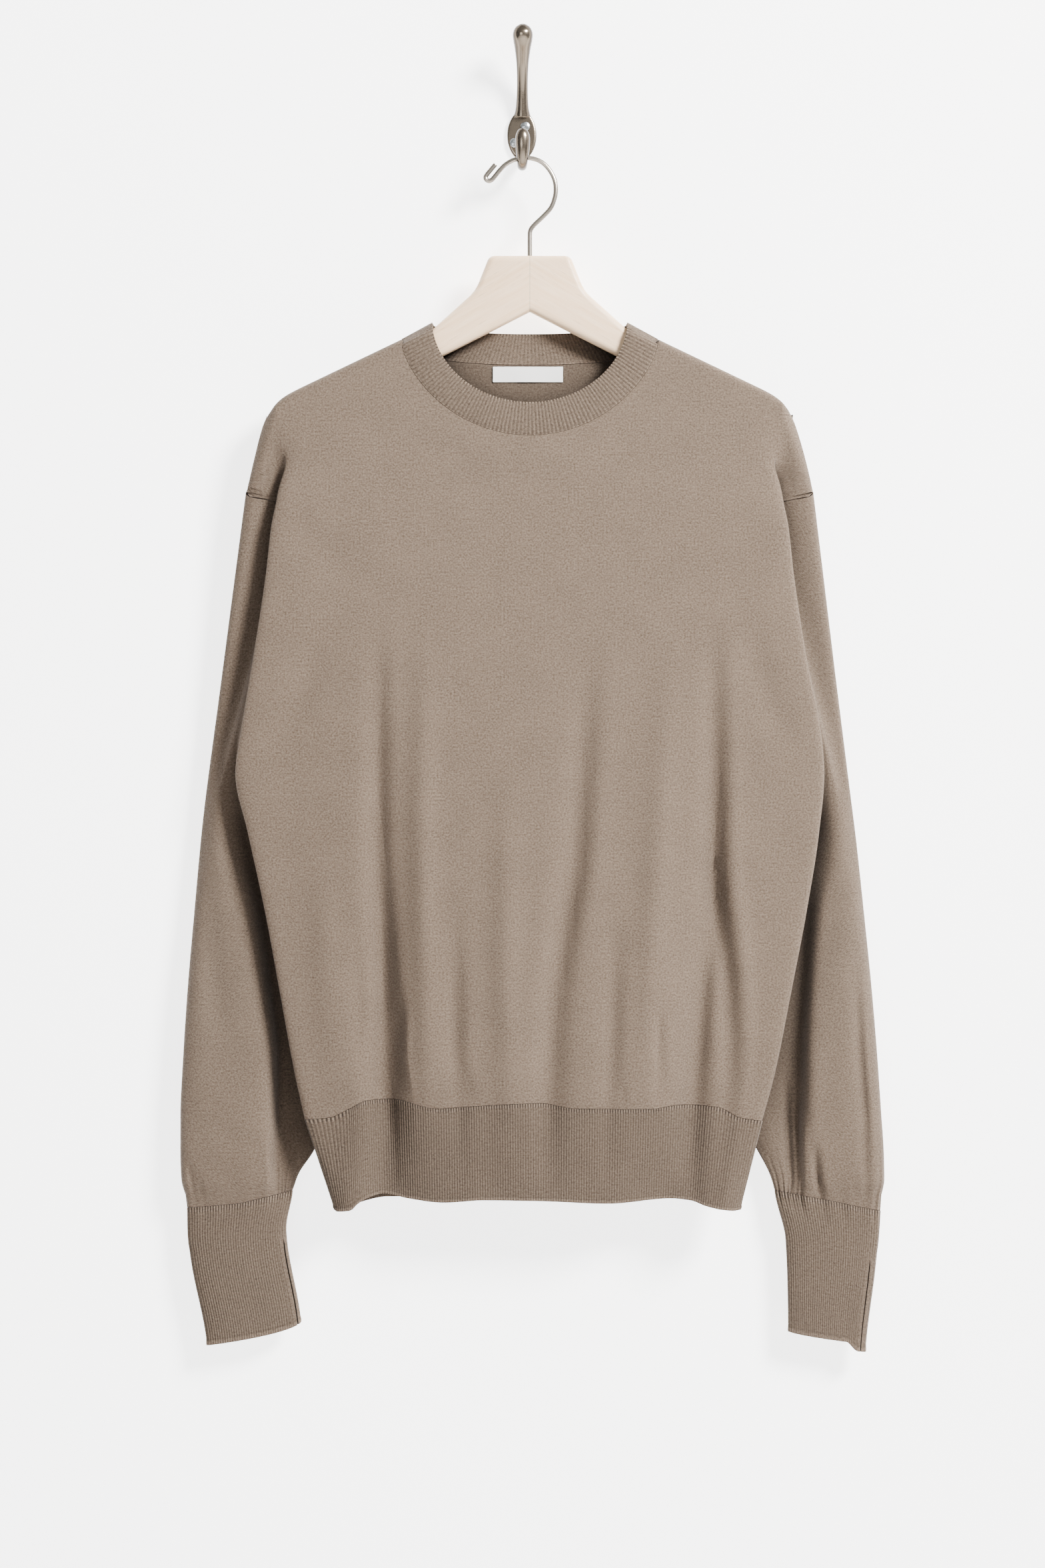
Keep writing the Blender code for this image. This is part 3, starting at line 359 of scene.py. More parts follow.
right_half = list(HANGER_HALF)
left_half = [(-x, y, r) for x, y, r in reversed(HANGER_HALF)]
outline = rounded_outline(right_half + [HANGER_NOTCH] + left_half, CORNER_STEPS)
points = []
for turn in [-math.pi / 2 + math.pi * k / EDGE_STEPS for k in range(EDGE_STEPS + 1)]:
    inset = HANGER_EDGE * (1 - math.cos(turn))
    off = math.copysign(HANGER_HALF_THICK - HANGER_EDGE, turn) + HANGER_EDGE * math.sin(turn)
    for k, here in enumerate(outline):
        along = (outline[(k + 1) % len(outline)] - outline[k - 1]).normalized()
        spot = here + Vector((-along.y, along.x)) * inset
        points.append(((CENTRE + spot.x) * MM, -(HANGER_OFF + off) * MM, -spot.y * MM))
faces = closed_loft(EDGE_STEPS + 1, len(outline))


def noise(tree, spot, scale, detail, roughness=0.5):
    inputs = [(0, spot), ("Scale", scale), ("Detail", detail), ("Roughness", roughness)]
    return node(tree, "ShaderNodeTexNoise", inputs).outputs[0]


WOOD_PALE, WOOD_BROWN = (0.92, 0.69, 0.47), (0.82, 0.56, 0.33)
PORE, GLUE = (0.48, 0.31, 0.18), (0.42, 0.33, 0.25)
GRAIN_SLANT, GRAIN_STRETCH = -30, (16.0, 60.0, 300.0)    # degrees; streaks a metre
GLUE_HALF = 0.35
wood = new_material("pale_wood", (0.9, 0.75, 0.6), 0.5)
tree = wood.node_tree
spot = node(tree, "ShaderNodeNewGeometry").outputs["Position"]
x, y, z = node(tree, "ShaderNodeSeparateXYZ", [(0, spot)]).outputs
mirrored = maths(tree, "ABSOLUTE", maths(tree, "SUBTRACT", x, CENTRE * MM))
both_halves = node(tree, "ShaderNodeCombineXYZ", enumerate((mirrored, y, z))).outputs[0]
slant = (0, math.radians(GRAIN_SLANT), 0)
slanted = node(tree, "ShaderNodeMapping", [(0, both_halves), (2, slant)]).outputs[0]
streaks = node(tree, "ShaderNodeMapping", [(0, slanted), (3, GRAIN_STRETCH)]).outputs[0]
band = ramp(tree, noise(tree, streaks, 1.0, 4.0), 0.35, 0.7)
fleck = ramp(tree, noise(tree, streaks, 5.0, 2.0), 0.62, 0.75)
joint = maths(tree, "LESS_THAN", mirrored, GLUE_HALF * MM)
tone = blend(tree, band, WOOD_PALE, WOOD_BROWN)
tone = blend(tree, maths(tree, "MULTIPLY", fleck, 0.6), tone, PORE)
tone = blend(tree, maths(tree, "MULTIPLY", joint, 0.5), tone, GLUE)
tree.links.new(tone, shader_of(wood).inputs["Base Color"])
shader_of(wood).inputs["Coat Weight"].default_value = 0.15
piece_from("hanger_body", points, faces, wood, ["hanger_wood"])


# ---------------------------------------------------------------- back panel and front panel
# Two panels of fine plain knit in heathered yarn, linked at the shoulders and
# laid over the hanger's ridge. The front turns back at both sides, and its
# lower half hangs in uneven folds that the hem gathers.
KNIT_COLOUR = (0.131, 0.0975, 0.0725)
WARM, COOL = (1.10, 0.97, 0.90), (0.92, 1.03, 1.08)    # tints of it, from fibre to fibre
KNIT_STITCH, KNIT_RELIEF = (1.25, 0.95), 0.16    # a stitch's width and height, and its depth


def grey(tree, level):
    """Colour whose three channels are level."""
    return node(tree, "ShaderNodeCombineXYZ", enumerate((level,) * 3)).outputs[0]


def yarn(name, share, wale, course, relief, shelter):
    """Knit with stitches wale wide and course high, in a share of the yarn's colour.

    The mesh's cloth map holds millimetres along and down. The knit is mottled
    and streaked, its stitch crests are painted a little lighter than their
    hollows as painted shade, and faces towards the front are darkened with
    painted shade where less than shelter is free before them.
    """
    colour = tuple(np.multiply(KNIT_COLOUR, share))
    material = new_material(name, colour, 0.95)
    tree = material.node_tree
    spot = node(tree, "ShaderNodeUVMap", uv_map="cloth").outputs[0]
    along, down = node(tree, "ShaderNodeSeparateXYZ", [(0, spot)]).outputs[:2]
    beside = maths(tree, "PINGPONG", maths(tree, "DIVIDE", along, wale), 0.5)
    leg = maths(tree, "MULTIPLY_ADD", beside, 1.5, maths(tree, "DIVIDE", down, course))
    stitch, column = (maths(tree, "SINE", maths(tree, "MULTIPLY", turn, 2 * math.pi))
                      for turn in (leg, beside))
    high = maths(tree, "MULTIPLY_ADD", stitch, 0.3, maths(tree, "MULTIPLY", column, 0.7))
    fuzz = noise(tree, spot, 0.7, 3.0, 0.7)
    blotch = noise(tree, spot, 0.035, 3.0)
    stretched = node(tree, "ShaderNodeMapping", [(0, spot), (3, (0.11, 0.9, 1.0))]).outputs[0]
    streak = noise(tree, stretched, 1.0, 2.0)
    light = maths(tree, "MULTIPLY_ADD", fuzz, 2.4, -0.2)
    for patch, strength in ((blotch, 0.22), (streak, 0.34)):
        light = maths(tree, "MULTIPLY_ADD", maths(tree, "SUBTRACT", patch, 0.5), strength, light)
    # Painted shade of the stitch relief: crests lighter, hollows darker.
    light = maths(tree, "MULTIPLY_ADD", high, 0.07, light)
    # Painted shade: front-facing faces with little free room before them are darkened.
    normal = node(tree, "ShaderNodeNewGeometry").outputs["Normal"]
    depth = node(tree, "ShaderNodeSeparateXYZ", [(0, normal)]).outputs[1]
    ahead = ramp(tree, depth, -0.45, -0.05, 1.0, 0.0)
    free = node(tree, "ShaderNodeAmbientOcclusion", [("Distance", shelter * MM)], samples=6).outputs["AO"]
    shaded = maths(tree, "MULTIPLY", ramp(tree, free, 0.2, 0.8, 0.96, 0.0), ahead)
    light = maths(tree, "MULTIPLY", light, maths(tree, "SUBTRACT", 1.0, shaded))
    tint = blend(tree, fuzz, *(tuple(np.multiply(colour, tones)) for tones in (WARM, COOL)))
    tone = blend(tree, 1.0, tint, grey(tree, light), "MULTIPLY")
    height = maths(tree, "MULTIPLY_ADD", fuzz, 0.9, high)
    bump = node(tree, "ShaderNodeBump", [("Height", height), ("Distance", relief * MM), ("Strength", 0.8)])
    shader = shader_of(material)
    tree.links.new(tone, shader.inputs["Base Color"])
    tree.links.new(bump.outputs[0], shader.inputs["Normal"])
    shader.inputs["Sheen Weight"].default_value = 0.08
    shader.inputs["Sheen Roughness"].default_value = 0.5
    shader.inputs["Specular IOR Level"].default_value = 0.15
    return material


plain_knit = yarn("plain_knit", 1.0, *KNIT_STITCH, KNIT_RELIEF, shelter=50)
# The back's yarn is drawn darker as painted shade: its inside lies in shade under the neckband.
back_knit_painted_shade = yarn("back_knit_painted_shade", 0.74, *KNIT_STITCH, KNIT_RELIEF, shelter=90)


class Table:
    """Rows of named columns, read between the rows on a smooth curve."""

    def __init__(self, names, rows):
        self.rows = np.array(rows, float)
        self.names = names

    def read(self, name, at):
        keys, values = self.rows[:, 0], self.rows[:, self.names.index(name)]
        at = np.clip(at, keys[0], keys[-1])
        i = np.clip(np.searchsorted(keys, at, side="right") - 1, 0, len(keys) - 2)
        slope = np.diff(values) / np.diff(keys)
        both = np.where(slope[:-1] * slope[1:] > 0, slope[:-1] + slope[1:], 1.0)
        inner = np.where(slope[:-1] * slope[1:] > 0, 2 * slope[:-1] * slope[1:] / both, 0.0)
        tangent = np.concatenate((slope[:1], inner, slope[-1:]))
        span = keys[i + 1] - keys[i]
        t = (at - keys[i]) / span
        rise = 3 * t * t - 2 * t ** 3
        return (values[i] + (values[i + 1] - values[i]) * rise
                + span * (tangent[i] * (t ** 3 - 2 * t * t + t) + tangent[i + 1] * (t ** 3 - t * t)))


FRONT = Table(
    ("drop", "fold_left", "fold_right", "outer_left", "outer_right",
     "mid", "side", "rear", "tip", "pleat", "seam"), (
        (216, 189.0, 189.0, 198.0, 197.2, 38.0, 38.0, 37.0, 28.8, 0.00, 8.0),
        (226, 189.0, 189.0, 201.8, 201.0, 38.1, 38.1, 36.3, 28.2, 0.06, 8.0),
        (250, 188.5, 189.0, 208.2, 208.2, 38.5, 38.5, 34.0, 26.0, 0.35, 8.0),
        (270, 190.0, 190.0, 213.0, 213.0, 39.0, 40.0, 31.0, 24.0, 0.75, 8.0),
        (281, 191.0, 191.0, 216.0, 215.0, 39.5, 41.0, 29.5, 22.5, 0.90, 5.3),
        (300, 194.5, 194.5, 220.0, 218.0, 40.0, 42.0, 27.5, 20.0, 1.00, 4.3),
        (336, 198.5, 198.5, 224.5, 222.0, 41.5, 42.5, 25.5, 17.0, 1.00, 4.1),
        (396, 207.5, 207.5, 232.0, 229.0, 44.0, 43.0, 24.0, 15.0, 1.00, 4.0),
        (456, 217.5, 219.0, 240.0, 237.0, 47.0, 42.5, 23.0, 14.5, 1.00, 3.4),
        (486, 221.5, 221.5, 243.5, 241.0, 48.0, 42.0, 23.0, 14.0, 1.00, 2.8),
        (531, 212.0, 217.5, 249.0, 247.0, 50.0, 42.0, 23.0, 14.0, 1.00, 2.8),
        (591, 199.0, 208.0, 254.5, 253.5, 52.0, 42.0, 23.0, 14.0, 1.00, 2.8),
        (651, 188.0, 196.5, 259.5, 260.0, 54.0, 42.0, 23.0, 14.0, 1.00, 2.8),
        (711, 177.0, 184.5, 262.5, 264.0, 54.0, 42.0, 23.0, 14.0, 1.00, 2.8),
        (750, 168.5, 174.0, 264.5, 266.0, 51.0, 41.0, 23.0, 14.0, 1.00, 2.8)))
BACK = Table(
    ("drop", "edge_left", "edge_right", "edge_off", "side", "mid"), (
        (216, 198.0, 197.2, 27.7, 19.0, 19.0), (250, 208.2, 208.2, 25.7, 18.0, 18.0),
        (270, 213.0, 213.0, 23.7, 17.0, 17.0), (281, 194.0, 194.0, 16.3, 16.0, 16.0),
        (300, 188.0, 188.0, 14.8, 14.8, 15.0), (336, 187.5, 187.0, 13.8, 14.4, 13.5),
        (396, 193.5, 193.0, 16.0, 16.5, 12.5), (441, 203.0, 203.0, 20.5, 20.0, 12.0),
        (473, 212.0, 213.0, 27.0, 24.6, 12.0), (486, 217.4, 217.4, 34.8, 26.8, 12.0),
        (531, 207.9, 213.4, 34.8, 29.2, 12.0), (591, 194.9, 203.9, 34.8, 29.5, 12.0),
        (651, 183.9, 192.4, 34.8, 29.5, 13.0), (711, 172.9, 180.4, 34.8, 29.5, 15.0),
        (750, 164.4, 169.9, 34.0, 29.0, 18.0)))
FOLD_CURVE = (
    # across from the fold and off from the side of the front, round to its rear
    (-22.0, 0.0), (-4.5, -0.8), (0.0, -4.0), (-5.0, -7.5), (-16.0, -10.5), (-7.0, -15.0))
BACK_FLAT, BACK_RISEN = 36.0, 150.0    # between these places across, the back leaves the wall
FOLDS = (
    # across at the start, across at the hem, drop at the start, half width, depth
    (-109.0, -108.0, 400.0, 12.5, 12.0),
    (50.0, 15.0, 330.0, 11.0, 6.0),
    (143.0, 122.0, 400.0, 14.0, 10.0))
HEM_SEAM = Table(("across", "drop"), (
    (-170, 746.0), (-152, 744.5), (-136, 738.0), (-120, 731.5), (-100, 731.0),
    (-70, 737.0), (-40, 735.0), (5, 733.0), (35, 737.0), (90, 737.5),
    (110, 735.0), (140, 736.5), (160, 744.5), (176, 747.0)))
TABLE_TOP, LEVEL_END, HEM_MEAN, FOLDS_END = 216.0, 705.0, 738.0, 740.0    # drops
RIDGE_TOP, RIDGE_SLOPE, RIDGE_REACH = 112.5, 0.479, 6.0
RIDGE_ROUNDED = (160.0, 197.8, 9.8)    # across where it starts, where it ends, and how far it sinks
TURN_SHARE, TURN_PLACES = 0.6, 2.5    # past share 1 by the first, along the curve by the second
BACK_TURN = 22.0        # how far in the back starts to turn forward to its seam
ARMHOLE = (270, 281, 300, 336, 366, 396, 426, 456, 473, 486)
NECK_HALF, NECK_TOP, NECK_FRONT_DROP, NECK_BACK_DROP = 97.0, 158.8, 73.0, 18.4
SEAM, RIDGE_GAP, TIP_GAP, UNDERARM_GAP, KNIT = 0.3, 0.25, 1.2, 0.8, 1.5


def mix(a, b, t):
    return a + (b - a) * t


def ease(t):
    t = np.clip(t, 0.0, 1.0)
    return t * t * (3 - 2 * t)


def through(points, at, closed=False):
    """Places on smooth curves through points[k]; at is 2.5 halfway from 2 to 3."""
    points = np.array(points)
    count = len(points)
    first = np.floor(at).astype(int)
    if not closed:
        first = np.clip(first, 0, count - 2)
    t = at - first

    def pick(k):
        index = (first + k) % count if closed else np.clip(first + k, 0, count - 1)
        return np.take_along_axis(points, index[None], axis=0)[0]

    return curve_between(*(pick(k) for k in (-1, 0, 1, 2)), t)


def ridge_drop(across):
    """Shoulder line: straight from the neck, rounded off at its end."""
    out = np.abs(across)
    start, end, sunk = RIDGE_ROUNDED
    return RIDGE_TOP + RIDGE_SLOPE * out + sunk * np.clip((out - start) / (end - start), 0.0, 1.0) ** 6


def over_ridge(across, drop, off):
    """Bend a panel's distance off the wall to the hanger's plane at the top."""
    below = np.clip((drop - ridge_drop(across)) / RIDGE_REACH, 0.0, 1.0)
    seam = HANGER_OFF + np.copysign(RIDGE_GAP, off - HANGER_OFF)
    return mix(seam, off, (1 - (1 - below) ** 3) ** (1 / 3))


def edge_points(side, drop):
    """Curve of the front's side edge: over the fold, behind it and out again."""
    name = "left" if side < 0 else "right"
    fold, outer = FRONT.read("fold_" + name, drop), FRONT.read("outer_" + name, drop)
    front, rear, tip = (FRONT.read(key, drop) for key in ("side", "rear", "tip"))
    folded = [(fold + out, front + ahead) for out, ahead in FOLD_CURVE]
    folded += [(outer - 6, rear), (outer - 0.15, tip + 3), (outer, tip)]
    pleat = ease(FRONT.read("pleat", drop))
    start, end = folded[0], folded[6]
    flat = [(mix(start[0], end[0], k / 6), mix(start[1], end[1], (k / 6) ** 2)) for k in range(7)]
    flat += folded[7:]
    return [tuple(mix(a, b, pleat) for a, b in zip(p, q)) for p, q in zip(flat, folded)]


def trough(across, drop):
    """Depth of the large folds, which grow from their start down to the hem."""
    depth = np.zeros_like(across)
    for start, end, top, half, deep in FOLDS:
        t = np.clip((drop - top) / (FOLDS_END - top), 0.0, 1.0)
        depth += deep * ease(t) * np.exp(-((across - mix(start, end, t)) / half) ** 2)
    return depth


def front_point(side, share, drop):
    """share 0 to 1 runs from the centre line to the fold, 1 to 2 to the seam."""
    edge = edge_points(side, drop)
    inside = np.minimum(share, 1.0)
    across = edge[0][0] * inside
    bulge = FRONT.read("mid", drop) - edge[0][1]
    off = edge[0][1] + bulge * (1 - inside ** 2) ** 1.5 * (1 + 0.5 * inside ** 2)
    off = off - trough(side * across, drop)
    seam = FRONT.read("seam", drop)
    knee = np.minimum(TURN_PLACES, seam)
    t = (share - 1) / TURN_SHARE
    at = np.where(t <= 1, knee * np.clip(t, 0, 1),
                  mix(knee, seam, (share - 1 - TURN_SHARE) / (1 - TURN_SHARE)))
    beyond = share > 1
    across = np.where(beyond, through([p[0] for p in edge], at), across)
    off = np.where(beyond, through([p[1] for p in edge], at), off)
    return side * across, over_ridge(across, drop, off)


def back_edge(side, drop):
    """The back's edge: along the front's seam, with its own course at the armhole.

    The gap to the front is wider at the shoulder's corner and over the armhole.
    """
    name = "edge_left" if side < 0 else "edge_right"
    across, off = front_point(side, np.full_like(drop, 2.0), drop)
    tip = np.maximum(1 - ease((drop - 220) / 20), ease((drop - 240) / 30))
    gap = np.where(drop <= ARMHOLE[0], mix(SEAM, TIP_GAP, tip), SEAM)
    hole = (drop > ARMHOLE[0]) & (drop < ARMHOLE[-1])
    return (np.where(hole, BACK.read(name, drop), np.abs(across)),
            np.where(hole, BACK.read("edge_off", drop), off - gap))


def back_point(side, share, drop):
    """share 0 to 1 runs from the centre line towards the edge, 1 to 2 to it."""
    edge, edge_off = back_edge(side, np.maximum(drop, TABLE_TOP))
    near, mid = BACK.read("side", drop), BACK.read("mid", drop)
    inner = edge - BACK_TURN
    across = inner * np.minimum(share, 1.0)
    off = mix(mid, near, ease((across - BACK_FLAT) / (BACK_RISEN - BACK_FLAT)))
    upright = ease((edge_off - near) / 6)
    turn = ((inner, near), (edge - 6, mix(near, edge_off, 0.3)),
            (edge - mix(2.0, 0.15, upright), edge_off - 3 * upright), (edge, edge_off))
    at = np.clip(3 * (share - 1), 0.0, 3.0)
    beyond = share > 1
    across = np.where(beyond, through([p[0] for p in turn], at), across)
    off = np.where(beyond, through([p[1] for p in turn], at), off)
    return side * across, over_ridge(across, drop, off)


def neck_seam(turn):
    """Neck seam at an angle: front from -90 to 90 degrees, back from 90 to 270."""
    low = np.cos(turn)
    front = NECK_TOP + NECK_FRONT_DROP * np.maximum(low, 0) ** 1.25
    back = NECK_TOP + NECK_BACK_DROP * np.maximum(-low, 0) ** 0.7
    return NECK_HALF * np.sin(turn), np.where(low >= 0, front, back)


def hem_seam(across, front):
    """Drop of the hem's seam: even across the back, but for its ends."""
    drop = HEM_SEAM.read("drop", across)
    return drop if front else mix(HEM_MEAN, drop, ease((np.abs(across) - 120) / 45))


NECK_COLUMNS, SHOULDER_COLUMNS, EDGE_COLUMNS = 30, 18, 30
TOP_ROWS, BODY_ROWS = 22, 120
RIDGE_ROWS = (0.0, 0.25, 0.8, 1.9, 3.6, 6.0)


def fold_across(point, side):
    """How far out a panel's share 1 lies at the shoulder's end."""
    return abs(point(side, np.array([[1.0]]), np.array([[TABLE_TOP]]))[0][0, 0])


def panel(point, front):
    """Grids of across, off and drop for a panel, and each column's side times share."""
    sides, shares, tops = [], [], []
    for side in (-1, 1):
        reach = fold_across(point, side)
        turn = np.linspace(0, math.pi / 2, NECK_COLUMNS)[:-1]
        across, drop = neck_seam(turn if front else math.pi - turn)
        shoulder = np.linspace(NECK_HALF / reach, 1.0, SHOULDER_COLUMNS + 1)[:-1]
        edge = 1 + np.linspace(0, 1, EDGE_COLUMNS)
        half = np.concatenate((across / reach, shoulder, edge))
        outside = np.abs(point(side, half[None, :], np.full((1, len(half)), TABLE_TOP))[0][0])
        high = ridge_drop(outside)
        high[:len(drop)] = drop
        order = slice(None, None, -1) if side < 0 else slice(1, None)
        sides += [side] * len(half[order])
        shares += list(half[order])
        tops += list(high[order])
    shares, tops, sides = np.array(shares), np.array(tops), np.array(sides)
    rows = [tops + ridge for ridge in RIDGE_ROWS]
    start = rows[-1]
    rows += [mix(start, ARMHOLE[0], k / TOP_ROWS) for k in range(1, TOP_ROWS)]
    rows += [np.full(len(tops), mix(float(ARMHOLE[0]), LEVEL_END, k / BODY_ROWS))
             for k in range(BODY_ROWS + 1)]
    last = []
    for side in (-1, 1):
        share = shares[None, sides == side]
        last.append(hem_seam(point(side, share, np.full(share.shape, HEM_MEAN))[0][0], front))
    rows += [mix(LEVEL_END, np.concatenate(last), t) for t in (0.2, 0.4, 0.6, 0.8, 1.0)]
    drops = np.array(rows)
    across, off = np.zeros_like(drops), np.zeros_like(drops)
    for side in (-1, 1):
        mine = sides == side
        share = np.broadcast_to(shares[mine], drops[:, mine].shape)
        across[:, mine], off[:, mine] = point(side, share, drops[:, mine])
    return across, off, drops, sides * shares


def crease(across, drop, path, half, depth, rise=0.0):
    """Soft trough along path, its points (across, drop), that fades at both ends.

    A ridge that rises by a share of its depth runs 1.7 half widths beside it.
    """
    best = np.full(across.shape, 1e9)
    signed = np.zeros(across.shape)
    along = np.zeros(across.shape)
    lengths = [math.dist(a, b) for a, b in zip(path, path[1:])]
    total, done = sum(lengths), 0.0
    for (ax, ay), (bx, by), length in zip(path, path[1:], lengths):
        dx, dy = (bx - ax) / length, (by - ay) / length
        t = np.clip((across - ax) * dx + (drop - ay) * dy, 0, length)
        gap = np.hypot(across - ax - t * dx, drop - ay - t * dy)
        closer = gap < best
        best = np.where(closer, gap, best)
        signed = np.where(closer, (across - ax) * dy - (drop - ay) * dx, signed)
        along = np.where(closer, (done + t) / total, along)
        done += length
    fade = np.sin(math.pi * np.clip(along, 0.02, 0.98)) ** 0.9
    ridge = np.exp(-((signed - 1.7 * half) / half) ** 2 - (best / (3 * half)) ** 4)
    return depth * fade * (np.exp(-(best / half) ** 2) - rise * ridge)


def to_world(across, off, drop):
    """Points in metres, right, back and up."""
    return np.stack(((CENTRE + across) * MM, -off * MM, -drop * MM), -1)


def wall_piece(name, outer, inner, maps, material, nodes, closed=False, slit=None, crisp=60):
    """Closed wall between two grids of points in metres, with sharp rims.

    A closed grid's last column lies on its first; below the row slit the two
    part. maps gives each map's name its grids of u and v.
    """
    rows, columns = outer.shape[:2]
    plain = np.arange(rows * columns).reshape(rows, columns)
    tied = (rows if slit is None else slit + 1) if closed else 0
    joined = plain.copy()
    joined[:tied, -1] = joined[:tied, 0]
    quads = []
    for ids in (joined, plain):
        back = ids + rows * columns
        parts = [(ids[:-1, :-1], ids[1:, :-1], ids[1:, 1:], ids[:-1, 1:]),
                 (back[:-1, 1:], back[1:, 1:], back[1:, :-1], back[:-1, :-1]),
                 (ids[0, :-1], ids[0, 1:], back[0, 1:], back[0, :-1]),
                 (ids[-1, :-1], back[-1, :-1], back[-1, 1:], ids[-1, 1:])]
        if tied < rows:
            top = max(tied - 1, 0)
            parts += [(ids[top:-1, 0], back[top:-1, 0], back[top + 1:, 0], ids[top + 1:, 0]),
                      (ids[top:-1, -1], ids[top + 1:, -1], back[top + 1:, -1], back[top:-1, -1])]
        quads.append(np.concatenate([np.stack([corner.ravel() for corner in part], -1) for part in parts]))
    used = np.unique(quads[0])
    points = np.concatenate((outer.reshape(-1, 3), inner.reshape(-1, 3)))[used]
    obj = piece_from(name, points, np.searchsorted(used, quads[0]).tolist(), material, nodes)
    for key, grids in maps.items():
        layer = obj.data.uv_layers.new(name=key)
        pairs = np.stack([np.tile(grid.ravel(), 2)[quads[1].ravel()] for grid in grids], -1)
        layer.data.foreach_set("uv", pairs.astype(np.float32).ravel())
    obj.data.set_sharp_from_angle(angle=math.radians(crisp))
    return obj


def grid_normals(points, closed, reach=1):
    """Outward unit normals of a grid; a closed grid's last column lies on its first."""
    if closed:
        ring = points[:, :-1]
        along = np.roll(ring, -reach, 1) - np.roll(ring, reach, 1)
        along = np.concatenate((along, along[:, :1]), 1)
    else:
        along = np.gradient(points, axis=1)
    normal = np.cross(np.gradient(points, axis=0), along)
    return normal / np.linalg.norm(normal, axis=2, keepdims=True)


def sheet_piece(name, across, off, drop, maps, material, slot, nodes, closed=False, thick=KNIT):
    """Piece of cloth with its outer face through the grid."""
    outer = to_world(across, off, drop)
    inner = outer - grid_normals(outer, closed) * thick * MM
    return wall_piece(name, outer, inner, {"cloth": maps}, material, nodes, closed)


def wales(across, off, drop, middle):
    """Map of a grid: millimetres beside its middle column, and down."""
    step = np.hypot(np.diff(across, axis=1), np.diff(off, axis=1))
    u = np.concatenate((np.zeros((len(across), 1)), np.cumsum(step, axis=1)), 1)
    return u - u[:, middle:middle + 1], drop


back_across, back_off, back_drop = panel(back_point, False)[:3]
BACK_CREASES = (
    # path, half width, depth
    (((-70, 430), (-82, 560), (-86, 720)), 12.0, 4.0),
    (((10, 480), (0, 600), (6, 725)), 15.0, 3.0),
    (((88, 440), (80, 580), (92, 722)), 12.0, 4.0))
for path, half, depth in BACK_CREASES:
    back_off += crease(back_across, back_drop, path, half, depth)
middle = back_across.shape[1] // 2
back_maps = wales(back_across, back_off, back_drop, middle)
back_panel = sheet_piece("back_panel", *(m[:, ::-1] for m in (back_across, back_off, back_drop)),
                         [m[:, ::-1] for m in back_maps], back_knit_painted_shade, "plain_knit", ["back"])

front_across, front_off, front_drop, front_share = panel(front_point, True)
FRONT_CREASES = (
    # path of (across, drop), half width, depth, rise of the ridge beside it
    (((-114, 370), (-115, 560), (-110, 640), (-105, 752)), 7.5, 4.6, 0.3),
    (((-96, 650), (-99, 700), (-93, 734)), 4.0, 2.6, 0.45),
    (((-130, 600), (-127, 680), (-122, 734)), 6.0, 2.2, 0.2),
    (((-116, 680), (-113, 734)), 3.6, 2.0, 0.35),
    (((-104, 700), (-102, 735)), 2.6, 1.6, 0.35),
    (((-78, 370), (-81, 520), (-78, 660), (-76, 770)), 9.0, -3.8, 0.0),
    (((45, 400), (34, 560), (16, 650), (6, 770)), 8.0, 4.6, 0.4),
    (((-17, 480), (-18, 640), (-15, 770)), 9.0, -3.4, 0.0),
    (((138, 380), (139, 560), (148, 640), (150, 690), (146, 770)), 7.5, 7.6, 0.4),
    (((140, 560), (128, 680), (122, 750)), 6.0, 3.2, 0.4),
    (((105, 400), (94, 580), (82, 750)), 12.0, -4.0, 0.0),
    (((-56, 590), (-56, 690), (-51, 760)), 6.0, 3.0, 0.3),
    (((64, 590), (61, 690), (58, 760)), 6.5, 3.2, 0.3),
    (((-46, 712), (-44, 735)), 2.4, 1.7, 0.35),
    (((-40, 715), (-40, 735)), 2.2, 1.4, 0.35),
    (((70, 716), (70, 736)), 2.4, 1.5, 0.35),
    (((97, 660), (98, 735)), 3.4, 2.2, 0.35),
    (((105, 711), (104, 735)), 2.2, 1.5, 0.35),
    (((-186, 290), (-150, 326), (-118, 350)), 15.0, 1.6, 0.0),
    (((184, 290), (150, 332), (114, 362)), 15.0, 1.4, 0.0),
    (((-200, 476), (-172, 430), (-150, 370)), 11.0, 1.8, 0.0),
    (((202, 474), (178, 430), (158, 366)), 11.0, 1.8, 0.0),
    (((-156, 540), (-152, 660), (-146, 730)), 12.0, -2.4, 0.0),
    (((-60, 225), (-20, 252), (30, 250), (66, 226)), 14.0, -1.4, 0.0))
on_front = 1 - ease((np.abs(front_share) - 1.0) / 0.2)
for path, half, depth, rise in FRONT_CREASES:
    front_off -= on_front[None, :] * crease(front_across, front_drop, path, half, depth, rise)
middle = front_across.shape[1] // 2
front_maps = wales(front_across, front_off, front_drop, middle)
front_panel = sheet_piece("front_panel", front_across, front_off, front_drop, front_maps,
                          plain_knit, "plain_knit", ["front"])
